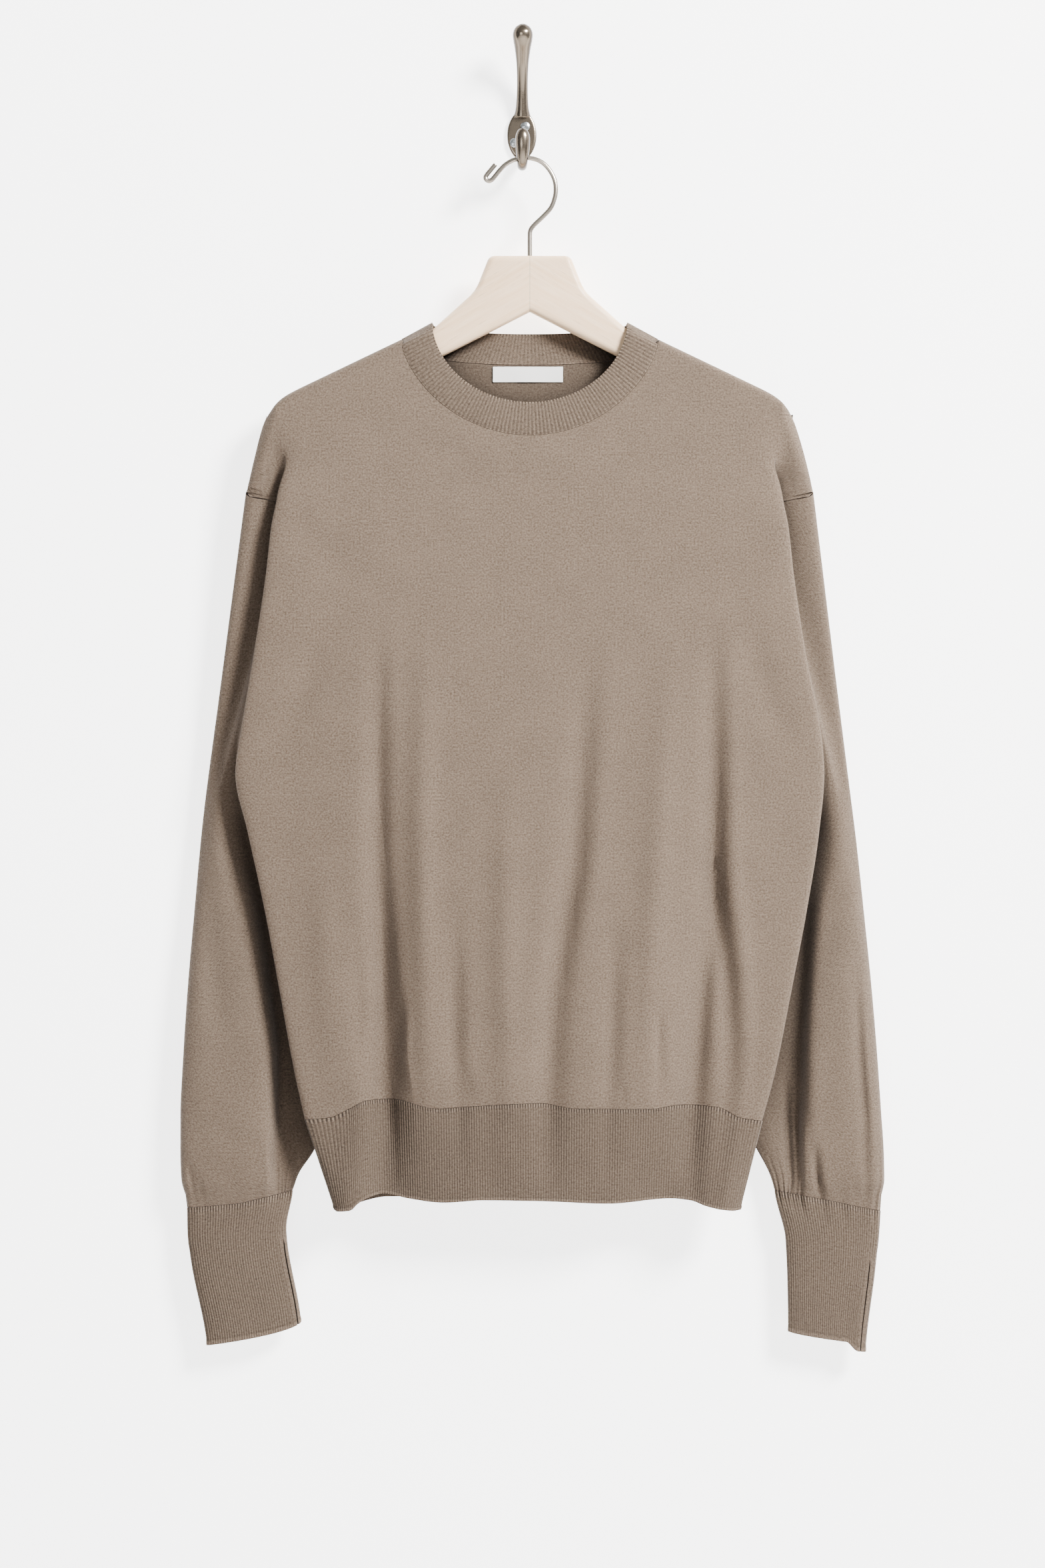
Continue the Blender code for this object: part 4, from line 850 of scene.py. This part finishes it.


# ---------------------------------------------------------------- sleeves
# Full sleeves of the same knit, linked to the armhole edges of both panels.
# They hang behind the body's sides and are gathered into the cuffs.
# The sleeves' yarn is drawn darker as painted shade: they hang behind the body, away from the light.
sleeve_knit_painted_shade = yarn("sleeve_knit_painted_shade", 0.92, *KNIT_STITCH, KNIT_RELIEF, shelter=65)
SLEEVE = Table(
    ("drop", "outer_left", "outer_right", "inner_left", "inner_right", "inner_off",
     "step_left", "step_right", "recess", "front", "tip", "back"), (
        (500, 245.5, 243.0, 216.5, 216.5, 22.0, 225.5, 225.5, 22.5, 26.2, 14.5, 8.0),
        (531, 249.0, 247.0, 205.0, 207.0, 17.0, 220.0, 222.0, 14.5, 25.2, 14.0, 7.0),
        (591, 254.5, 253.5, 171.0, 176.0, 12.0, 205.0, 212.0, 10.0, 26.0, 14.0, 6.5),
        (651, 259.5, 259.5, 144.0, 148.0, 10.5, 196.0, 207.0, 9.6, 27.0, 14.5, 6.0),
        (700, 262.5, 263.5, 139.0, 143.0, 10.5, 191.0, 205.0, 9.6, 28.0, 15.0, 6.0),
        (745, 264.5, 266.5, 152.0, 157.0, 11.5, 192.0, 204.5, 12.0, 29.0, 15.5, 6.0),
        (772, 264.5, 268.2, 163.5, 172.5, 13.5, 192.5, 203.5, 17.0, 30.0, 16.0, 6.5),
        (793, 263.8, 268.6, 175.5, 182.0, 15.0, 193.0, 204.0, 19.0, 29.0, 16.5, 7.5),
        (809, 259.5, 265.5, 179.9, 186.0, 15.5, 193.0, 203.0, 19.5, 25.0, 16.5, 9.0)))
CUFF_SEAM = {-1: (801.5, 811.0, 814.5), 1: (801.5, 808.5, 817.0)}    # drop inside, midway, outside
LIFT_ROWS, RING_ROWS, ARMHOLE_STEPS = 18, 110, 84
FIRST_RING, LAST_RING, CUFF_MEAN = 500.0, 805.0, 809.0
JOIN_ROWS, JOIN_PASSES = 8, 6    # rows each way that are evened out at the first ring
FRONT_PLACES, ALL_PLACES = 5, 9    # places on the front, and all round, of a sleeve's ring
SINK_FROM, SINK_OVER = 760.0, 50.0    # drops over which the rows bend to the slanting cuff


def sleeve_ring(side, drop):
    """Nine places round a sleeve, from its inner edge over the front and the back."""
    name = "left" if side < 0 else "right"
    outer, inner, step = (SLEEVE.read(key + name, drop) for key in ("outer_", "inner_", "step_"))
    front, recess, back, tip, inner_off = (
        SLEEVE.read(key, drop) for key in ("front", "recess", "back", "tip", "inner_off"))
    return [
        (inner, inner_off), (mix(inner, step - 4, 0.45), mix(inner_off, recess, 0.9)),
        (step - 4, recess + 0.5), (np.minimum(step + 11, mix(step - 4, outer - 9, 0.55)), front - 1.5),
        (outer - 9, front - 2.5), (outer, tip),
        (outer - 10, back + 0.6), (mix(inner, outer, 0.52), back),
        (mix(inner, outer, 0.15), mix(back, inner_off, 0.3))]


def sleeve_grid(side):
    """Closed grid of a sleeve from the armhole to the cuff; |across| first."""
    steps = len(ARMHOLE) - 1
    drops = np.interp(np.linspace(0, steps, ARMHOLE_STEPS + 1), range(steps + 1), ARMHOLE[::-1])
    share = np.linspace(0, steps, ARMHOLE_STEPS + 1) / steps
    front_a, front_o = front_point(side, np.full((1, len(drops)), 2.0), drops[None, :])
    behind = ease((drops - 396) / 60)
    outward = np.where(drops > ARMHOLE[0], SEAM * (1 - 0.5 * behind), 0.0)
    outward[0] = UNDERARM_GAP
    loop_a = np.abs(front_a[0]) + outward
    loop_o = front_o[0] - SEAM * mix(0.33, 1.0, behind)
    loop_d = drops + SEAM
    rear = drops[::-1][1:-1]
    back_a, back_o = back_point(side, np.full((1, len(rear)), 2.0), rear[None, :])
    loop_a = np.concatenate((loop_a, np.abs(back_a[0]) + SEAM + UNDERARM_GAP * ease((rear - 441) / 30)))
    loop_o = np.concatenate((loop_o, back_o[0]))
    loop_d = np.concatenate((loop_d, rear + SEAM))
    rear_places = FRONT_PLACES + (ALL_PLACES - FRONT_PLACES) * share[1:-1]
    places = np.concatenate((FRONT_PLACES * share, rear_places))

    def ring(drop):
        shape = sleeve_ring(side, np.full((1, len(places)), drop))
        return [through([p[i] for p in shape], places[None, :], closed=True)[0] for i in (0, 1)]

    rows = [(loop_a, loop_o, loop_d)]
    low_a, low_o = ring(FIRST_RING)
    ahead = 1 - ease((places - 1.5) / 3)
    beside = np.maximum(loop_a, low_a) + 3 + 4 * np.sin(math.pi * np.minimum(places, 3) / 3)
    straight = mix(mix(loop_a, low_a, 0.5), np.maximum(loop_a, low_a) + 1, ease(places - 7.5))
    bend = (mix(straight, beside, ahead), mix(loop_o, low_o, 0.5 - 0.5 * ahead),
            mix(loop_d, FIRST_RING, 0.5 - 0.15 * ahead))
    for k in range(1, LIFT_ROWS + 1):
        t = k / (LIFT_ROWS + 1)
        rows.append([mix(mix(a, b, t), mix(b, c, t), t)
                     for a, b, c in zip(rows[0], bend, (low_a, low_o, np.full_like(low_a, FIRST_RING)))])
    for drop in np.linspace(FIRST_RING, LAST_RING, RING_ROWS):
        rows.append((*ring(drop), np.full(len(places), drop)))
    for _ in range(JOIN_PASSES):
        for k in range(LIFT_ROWS - JOIN_ROWS, LIFT_ROWS + JOIN_ROWS):
            rows[k] = [(a + 2 * b + c) / 4 for a, b, c in zip(*rows[k - 1:k + 2])]
    last_a, last_o = ring(CUFF_MEAN)
    inner, centre, outer = CUFF_SEAM[side]
    t = (last_a - last_a.min()) / (last_a.max() - last_a.min())
    seam = mix(mix(inner, centre, np.minimum(2 * t, 1)), outer, np.maximum(2 * t - 1, 0))
    rows.append((last_a, last_o, seam))
    across, off, drop = (np.array([row[i] for row in rows]) for i in range(3))
    near = np.clip((drop[:-1] - SINK_FROM) / SINK_OVER, 0, 1)
    drop[:-1] += near ** 2 * np.minimum(0, seam - CUFF_MEAN)
    return across, off, np.minimum(drop, seam), places


SLEEVE_CREASES = {
    # path of (across, drop), half width, depth
    -1: ((((258, 778), (255, 796), (251, 815)), 2.4, 2.2),
         (((252, 786), (247, 813)), 2.0, 1.2),
         (((241, 792), (240, 813)), 2.0, 1.2),
         (((194, 760), (192, 806)), 3.0, 2.4),
         (((246, 560), (238, 640), (228, 710)), 9.0, 1.2),
         (((236, 430), (228, 520), (220, 600)), 7.0, 1.4),
         (((250, 610), (252, 700), (248, 760)), 9.0, -1.2)),
    1: ((((247, 640), (249, 690), (253, 745), (254, 815)), 3.0, 3.0),
        (((215, 766), (218, 792), (223, 816)), 2.8, 3.6),
        (((202, 730), (205, 812)), 2.6, 3.0),
        (((246, 784), (246, 814)), 2.2, 1.6),
        (((195, 715), (197, 780), (199, 810)), 3.0, 3.0),
        (((246, 520), (226, 600), (212, 670)), 10.0, 1.8),
        (((236, 430), (230, 520), (222, 600)), 7.0, 1.4),
        (((238, 620), (240, 710), (238, 770)), 9.0, -1.2),
        (((214, 690), (212, 770)), 7.0, -1.6))}
GATHER, GATHER_START = {-1: 0.3, 1: 0.55}, 745.0    # depth of the ripples above the cuffs
CUFF_MIDDLE = 16.0      # off the wall; the ripples go out from it to both faces
sleeve_rows = {}
for side, name in ((-1, "left"), (1, "right")):
    across, off, drop, places = sleeve_grid(side)
    facing = np.where((places > 0.4) & (places < 4.9), 1.0, 0.0)[None, :]
    for path, half, depth in SLEEVE_CREASES[side]:
        off = off - facing * crease(across, drop, path, half, depth, 0.3 if depth > 0 else 0.0)
    gather = np.clip((drop - GATHER_START) / (CUFF_MEAN - GATHER_START), 0, 1) ** 2
    ripple = np.sin(places * 2 * math.pi * 2.55 + 0.8 * np.sin(places * 3))
    ripple += 0.5 * np.sin(places * 26 + side)
    off = off + gather * (GATHER[side] * ripple)[None, :] * np.sign(off - CUFF_MIDDLE)
    sleeve_rows[side] = across[-1], off[-1], drop[-1]
    across = side * across
    if side < 0:
        across, off, drop = across[:, ::-1], off[:, ::-1], drop[:, ::-1]
    across, off, drop = (np.concatenate((m, m[:, :1]), 1) for m in (across, off, drop))
    sleeve = sheet_piece("sleeve_cloth_" + name, across, off, drop, wales(across, off, drop, 0),
                         sleeve_knit_painted_shade, "plain_knit", ["sleeve_" + name], closed=True)


# ---------------------------------------------------------------- ribbed bands
# Neckband, hem rib and cuffs are knitted in rib, drawn in darker shares of the
# yarn's colour, and linked to the panels and sleeves. Their ribs stand out of the wall.
RIB_STITCH, RIB_RELIEF = (2.0, 1.1), 0.12
# Painted shade between the ribs, and slightly lighter painted crests.
VALLEY_SHADE = 0.74     # of the yarn's colour, between the ribs
CUFF_RIBS = 80
STRIP_LEVEL = 0.34      # the plain strip along a cuff's slit starts here
STRIP_WIDE, STRIP_SEWN, STRIP_LINE = 2.9, (2.75, 1.9), 0.13    # ribs from the slit, either way
# The lip's paler colour is a painted highlight, and the thin line above it a painted shadow.
LIP_PAINTED_HIGHLIGHT, LIP_START, LIP_FULL = 1.3, 0.968, 0.978    # the last two are levels down the band
LIP_LINE, LIP_LINE_HALF, LIP_PAINTED_SHADOW = 0.96, 0.006, -0.15


def rib_material(name, share, strip=False, shelter=30):
    """Rib knit; the mesh's rib map holds the rib number and 0 to 1 down the band.

    Its first row shows as dots; its rolled lip at the edge gets a painted
    highlight, with a painted shadow line just above it. With strip, two
    sewn lines run along both sides of the slit at rib 0.
    """
    material = yarn(name, share, *RIB_STITCH, RIB_RELIEF, shelter)
    tree = material.node_tree
    base = shader_of(material).inputs["Base Color"]
    tone = base.links[0].from_socket
    spot = node(tree, "ShaderNodeUVMap", uv_map="rib").outputs[0]
    number, level = node(tree, "ShaderNodeSeparateXYZ", [(0, spot)]).outputs[:2]
    wave = maths(tree, "COSINE", maths(tree, "MULTIPLY", number, 2 * math.pi))
    light = ramp(tree, wave, 0.3, -0.95, 1.05, VALLEY_SHADE)
    if strip:
        beside = maths(tree, "PINGPONG", number, CUFF_RIBS / 2)
        below = maths(tree, "GREATER_THAN", level, STRIP_LEVEL)
        plain = maths(tree, "MULTIPLY", maths(tree, "LESS_THAN", beside, STRIP_WIDE), below)
        lines = maths(tree, "ADD", *(maths(tree, "COMPARE", beside, at, STRIP_LINE) for at in STRIP_SEWN))
        sewn = maths(tree, "MULTIPLY_ADD", lines, -0.45, 1.0)
        ribbed = maths(tree, "MULTIPLY", maths(tree, "SUBTRACT", 1.0, plain), light)
        light = maths(tree, "MULTIPLY_ADD", plain, sewn, ribbed)
    line = maths(tree, "COMPARE", level, LIP_LINE, LIP_LINE_HALF)
    dots = maths(tree, "MULTIPLY_ADD", wave, ramp(tree, level, 0.03, 0.05, 0.55, 0.0), 1.0)
    for part in (ramp(tree, level, LIP_START, LIP_FULL, 1.0, LIP_PAINTED_HIGHLIGHT),
                 maths(tree, "MULTIPLY_ADD", line, LIP_PAINTED_SHADOW, 1.0), dots):
        light = maths(tree, "MULTIPLY", light, part)
    tree.links.new(blend(tree, 1.0, tone, grey(tree, light), "MULTIPLY"), base)
    return material


RIB_STEPS, RIB_RISE, RIB_WALL = 4, 0.5, 1.8
STRIP_RIBS = 2.7        # ribs left out along each side of a cuff's slit
SLIT_HALF = 0.5
SWELL_LEVEL, SWELL_REACH = 0.985, 0.02    # where the rolled lip is, down the band
DEPTH_SHARE = 0.25      # how much depth counts where a cuff's ribs are spread


def band_piece(name, rows, levels, ribs, material, nodes, lip=0.0, slit=None):
    """rows are (across, off, drop) arrays round the band at levels 0 to 1.

    A band with a slit starts there, and has its ribs spread evenly as it is
    seen from the front, so depth counts for little.
    """
    base = [to_world(*(np.append(values, values[0]) for values in row)) / MM for row in rows]
    count = ribs * RIB_STEPS
    fine = []
    for row in base:
        line = base[len(base) // 2] * ((1, DEPTH_SHARE, 1) if slit else 1)
        at = np.append(0, np.cumsum(np.linalg.norm(np.diff(line, axis=0), axis=1)))
        spots = np.linspace(0, at[-1], count + 1)
        fine.append(np.stack([np.interp(spots, at, row[:, i]) for i in range(3)], -1))
    fine = np.array(fine)
    normal = grid_normals(fine, True, 3)
    level = levels[:, None] + np.zeros((1, count + 1))
    number = np.arange(count + 1)[None, :] / RIB_STEPS + np.zeros_like(level)
    wave = 0.5 + 0.5 * np.cos(2 * math.pi * number)
    start = None
    if slit:
        start = int(np.searchsorted(levels, slit))
        near = np.minimum(number, ribs - number)
        wave = mix(wave, 0.5, ease((STRIP_RIBS - near) / 0.4) * (level > slit))
    swell = lip * np.exp(-((level - SWELL_LEVEL) / SWELL_REACH) ** 2)
    outer = fine + normal * (RIB_RISE * wave + swell)[:, :, None]
    inner = fine - normal * RIB_WALL
    if slit:
        step = fine[start + 1:, 1] - fine[start + 1:, -2]
        step *= SLIT_HALF / np.linalg.norm(step, axis=1, keepdims=True)
        for grid in (outer, inner):
            grid[start + 1:, 0] += step
            grid[start + 1:, -1] -= step
    pitch = at[-1] / ribs
    maps = {"cloth": (number * pitch, -fine[:, :, 2].mean(1, keepdims=True) + np.zeros_like(level)),
            "rib": (number, level)}
    return wall_piece(name, outer * MM, inner * MM, maps, material, nodes, True, start, 75)


def toward(row, other, gap):
    """The row's points, moved by gap towards the other's."""
    step = [b - a for a, b in zip(row, other)]
    length = np.sqrt(sum(s * s for s in step))
    return tuple(a + s / length * gap for a, s in zip(row, step))


# ---------------------------------------------------------------- neckband
# A narrow single ring of rib round the neck, linked to both panels. It leans
# in to its upper edge and lies on the hanger's ridge at both sides.
neck_knit = rib_material("neck_rib", 0.86, shelter=80)
BAND_LEVELS = np.linspace(0, 1, 12)
BAND_HALF, BAND_TOP, BAND_RIBS, BAND_SWELL = 73.5, 146.0, 164, 0.9
EDGE_OFF, EDGE_SINK = (39.0, 18.6), (60.9, 7.4)    # of its inner edge, front and back
RIDGE_PART, EDGE_RIDGE_PART = 0.14, 0.16    # share of the way round that bends over the ridge
turns = np.linspace(-math.pi, math.pi, 481)[:-1]
seam_across, seam_drop = neck_seam(turns)
low = np.cos(turns)
seam_off = np.zeros_like(turns)
for front, point in ((True, front_point), (False, back_point)):
    for side in (-1, 1):
        mine = ((low >= 0) == front) & ((seam_across >= 0) == (side > 0))
        share = np.abs(seam_across[None, mine]) / fold_across(point, 1)
        seam_off[mine] = point(side, share, seam_drop[None, mine])[1][0]
soft = ease(np.abs(low) / RIDGE_PART)
seam_off = mix(HANGER_OFF, seam_off, soft)
bend = np.minimum(1.0, np.abs(low) / EDGE_RIDGE_PART) ** 0.5
inner_off = mix(HANGER_OFF, np.where(low > 0, *EDGE_OFF), bend)
inner_drop = BAND_TOP + np.where(low > 0, *EDGE_SINK) * np.abs(low) ** 1.05
edge = (BAND_HALF * np.sin(turns), inner_off, inner_drop)
seam = toward((seam_across, seam_off, seam_drop), edge, SEAM * (low > 0))
rows = []
for t in BAND_LEVELS:
    row = [mix(a, b, t) for a, b in zip(edge, seam)]
    row[1] += BAND_SWELL * math.sin(math.pi * t) ** 0.5 * np.where(low > 0, 1.0, -1.0) * soft
    rows.append(row)
neckband = band_piece("neckband_rib", rows, BAND_LEVELS, BAND_RIBS, neck_knit, ["neckband"])


# ---------------------------------------------------------------- hem rib
# One ring of rib linked to both panels' lower edges, which it gathers. It ends
# in a rolled lip, and follows the front round the turned-back sides.
rib_knit = rib_material("rib_knit", 0.72)
HEM_EDGE = Table(("seam", "across", "off", "drop"), (
    (-168.5, -146.2, 42.0, 813.5), (-160, -144.0, 46.0, 814.5), (-137, -134.0, 50.0, 813.5),
    (-132, -129.5, 49.0, 809.0), (-124, -121.5, 45.5, 804.2), (-112, -110.0, 41.0, 801.5),
    (-92, -90.0, 45.0, 805.0), (-66, -65.0, 50.0, 807.5), (-36, -35.0, 52.5, 805.5),
    (6, 6.0, 53.0, 806.0), (60, 59.0, 52.0, 808.0), (108, 105.0, 43.0, 805.0),
    (126, 121.0, 44.0, 806.5), (140, 132.5, 48.0, 810.5), (155, 144.0, 49.5, 813.0),
    (166, 153.0, 46.0, 814.0), (174, 157.6, 42.0, 813.5)))
HEM_ENDS = np.array(((-147.0, 37.0, 813.0), (158.5, 37.0, 813.0)))
HEM_RIBS, HEM_LIP = 348, 0.5
BACK_OFF, BACK_DROP = (35.5, 17.0), (813.0, 806.0)    # the back's lower edge at its ends and between
BACK_END = 0.13         # share of the back that each end takes
FOLD_SHARE = 1.48       # share of the front at which it turns back
LIP_LEVELS = (0.935, 0.95, 0.965, 0.975, 0.985, 0.993, 1.0)
HEM_LEVELS = np.append(np.linspace(0, 0.92, 15), LIP_LEVELS)
top = np.stack((front_across[-1], front_off[-1], front_drop[-1]), -1)
hidden = ((np.abs(front_share) - FOLD_SHARE) / (2 - FOLD_SHARE))[:, None]
at = np.where(hidden[:, 0] > 0, np.sign(front_share) * 1000.0, top[:, 0])
low = np.stack([HEM_EDGE.read(key, at) for key in ("across", "off", "drop")], -1)
ends = HEM_ENDS[(front_share > 0).astype(int)]
halves = [(top, mix(low, ends, np.maximum(0.0, hidden)))]
top = np.stack([m[-1, ::-1] for m in (back_across, back_off, back_drop)], -1)
share = np.append(0, np.cumsum(np.linalg.norm(np.diff(top, axis=0), axis=1)))
share /= share[-1]
near = ease(np.minimum(share, 1 - share) / BACK_END)
low = mix(HEM_ENDS[1, 0], HEM_ENDS[0, 0], share), mix(*BACK_OFF, near ** 0.5), mix(*BACK_DROP, near)
halves.append((top, np.stack(low, -1)))
top = np.concatenate([half[0] for half in halves]).T
bottom = np.concatenate([half[1] for half in halves]).T
top = toward(tuple(top), tuple(bottom), SEAM * (np.arange(len(top[0])) < len(front_share)))
rows = [[mix(a, b, t) for a, b in zip(top, bottom)] for t in HEM_LEVELS]
hem = band_piece("hem_rib_knit", rows, HEM_LEVELS, HEM_RIBS, rib_knit, ["hem_rib"], lip=HEM_LIP)


# ---------------------------------------------------------------- cuffs
# A long ring of rib on each sleeve's gathered end, with a rolled lip. Each is
# slit for two thirds of its length, the left near the body, the right outside.
cuff_knit = rib_material("cuff_rib", 0.79, strip=True)
CUFF_EDGE = {
    # at the lower edge across inside and outside, then drop; across where the slit starts
    -1: (173.5, 244.5, 901.0, 919.0, 184.5, 257.5), 1: (196.3, 254.2, 908.5, 924.0, 194.0, 262.6)}
CUFF_LIP = 0.4
CUFF_LEVELS = np.append(np.linspace(0, 0.92, 22), LIP_LEVELS)
CUFF_SLIT_TOP = 0.32
CUFF_SLIT_SHARE = {-1: 0.03, 1: 0.93}    # of the front's width, from the underarm out
CUFF_OFF, CUFF_DEPTH, CUFF_GATHER = 16.5, 6.5, 0.16
for side, name in ((-1, "left"), (1, "right")):
    inner, outer, inner_drop, outer_drop, slit_inner, slit_outer = CUFF_EDGE[side]
    top_across, top_off, top_drop = sleeve_rows[side]
    lowest, highest = int(np.argmin(top_across)), int(np.argmax(top_across))
    turn = np.arccos(1 - 2 * (top_across - top_across.min()) / np.ptp(top_across))
    turn = np.where(np.arange(len(turn)) > highest, 2 * math.pi - turn, turn)
    turn[:lowest] *= -1
    even = np.linspace(0, 2 * math.pi, len(turn) + 1)[:-1]
    even += math.acos(1 - 2 * CUFF_SLIT_SHARE[side])
    wrapped = np.concatenate((turn - 2 * math.pi, turn, turn + 2 * math.pi))
    top = [np.interp(even, wrapped, np.tile(values, 3)) for values in (top_across, top_off, top_drop)]
    share = (1 - np.cos(even)) / 2
    bulge = np.abs(np.sin(even)) ** 0.7 * np.sign(np.sin(even))
    dip = share ** 0.6 if side < 0 else 0.6 * share ** 0.8 + 0.4 * ease((share - 0.74) / 0.16)
    bottom_drop = mix(inner_drop, outer_drop, dip)
    rows = []
    for t in CUFF_LEVELS:
        at = t / CUFF_SLIT_TOP if t < CUFF_SLIT_TOP else 1 + (t - CUFF_SLIT_TOP) / (1 - CUFF_SLIT_TOP)
        near, far = (through((a, b, c), np.array(at)) for a, b, c in (
            (top_across.min(), slit_inner, inner), (top_across.max(), slit_outer, outer)))
        row = [mix(near, far, share), mix(top[1], CUFF_OFF + CUFF_DEPTH * bulge, ease(t / CUFF_GATHER)),
               mix(top[2] + SEAM, bottom_drop, t)]
        row[0] = side * row[0]
        rows.append([np.roll(values[::-1], 1) for values in row] if side < 0 else row)
    cuff = band_piece("cuff_rib_" + name, rows, CUFF_LEVELS, CUFF_RIBS, cuff_knit, ["cuff_" + name],
                      CUFF_LIP, CUFF_SLIT_TOP)


# ---------------------------------------------------------------- neck label
# A plain white woven label, sewn by its upper edge to the inside of the back
# just below the neckband. Its lower edge hangs free and waves a little.
label_cloth = new_material("woven_label", (0.86, 0.85, 0.83), 0.8)
LABEL_ACROSS, LABEL_WIDTH, LABEL_HEIGHT, LABEL_THICK = -1.4, 53.0, 11.6, 0.6
LABEL_BELOW_SEAM, LABEL_WAVE = 1.2, 0.25
u, v = np.meshgrid(np.linspace(-0.5, 0.5, 28), np.linspace(0, 1, 9))
across = LABEL_ACROSS + LABEL_WIDTH * u
drop = NECK_TOP + NECK_BACK_DROP + LABEL_BELOW_SEAM + LABEL_HEIGHT * v
off = BACK.read("mid", TABLE_TOP) + KNIT + SEAM + LABEL_THICK + LABEL_WAVE * np.cos(u * 9) * v
label = sheet_piece("label_cloth", across, off, drop, (across, drop), label_cloth, "woven_label",
                    ["neck_label"], thick=LABEL_THICK)
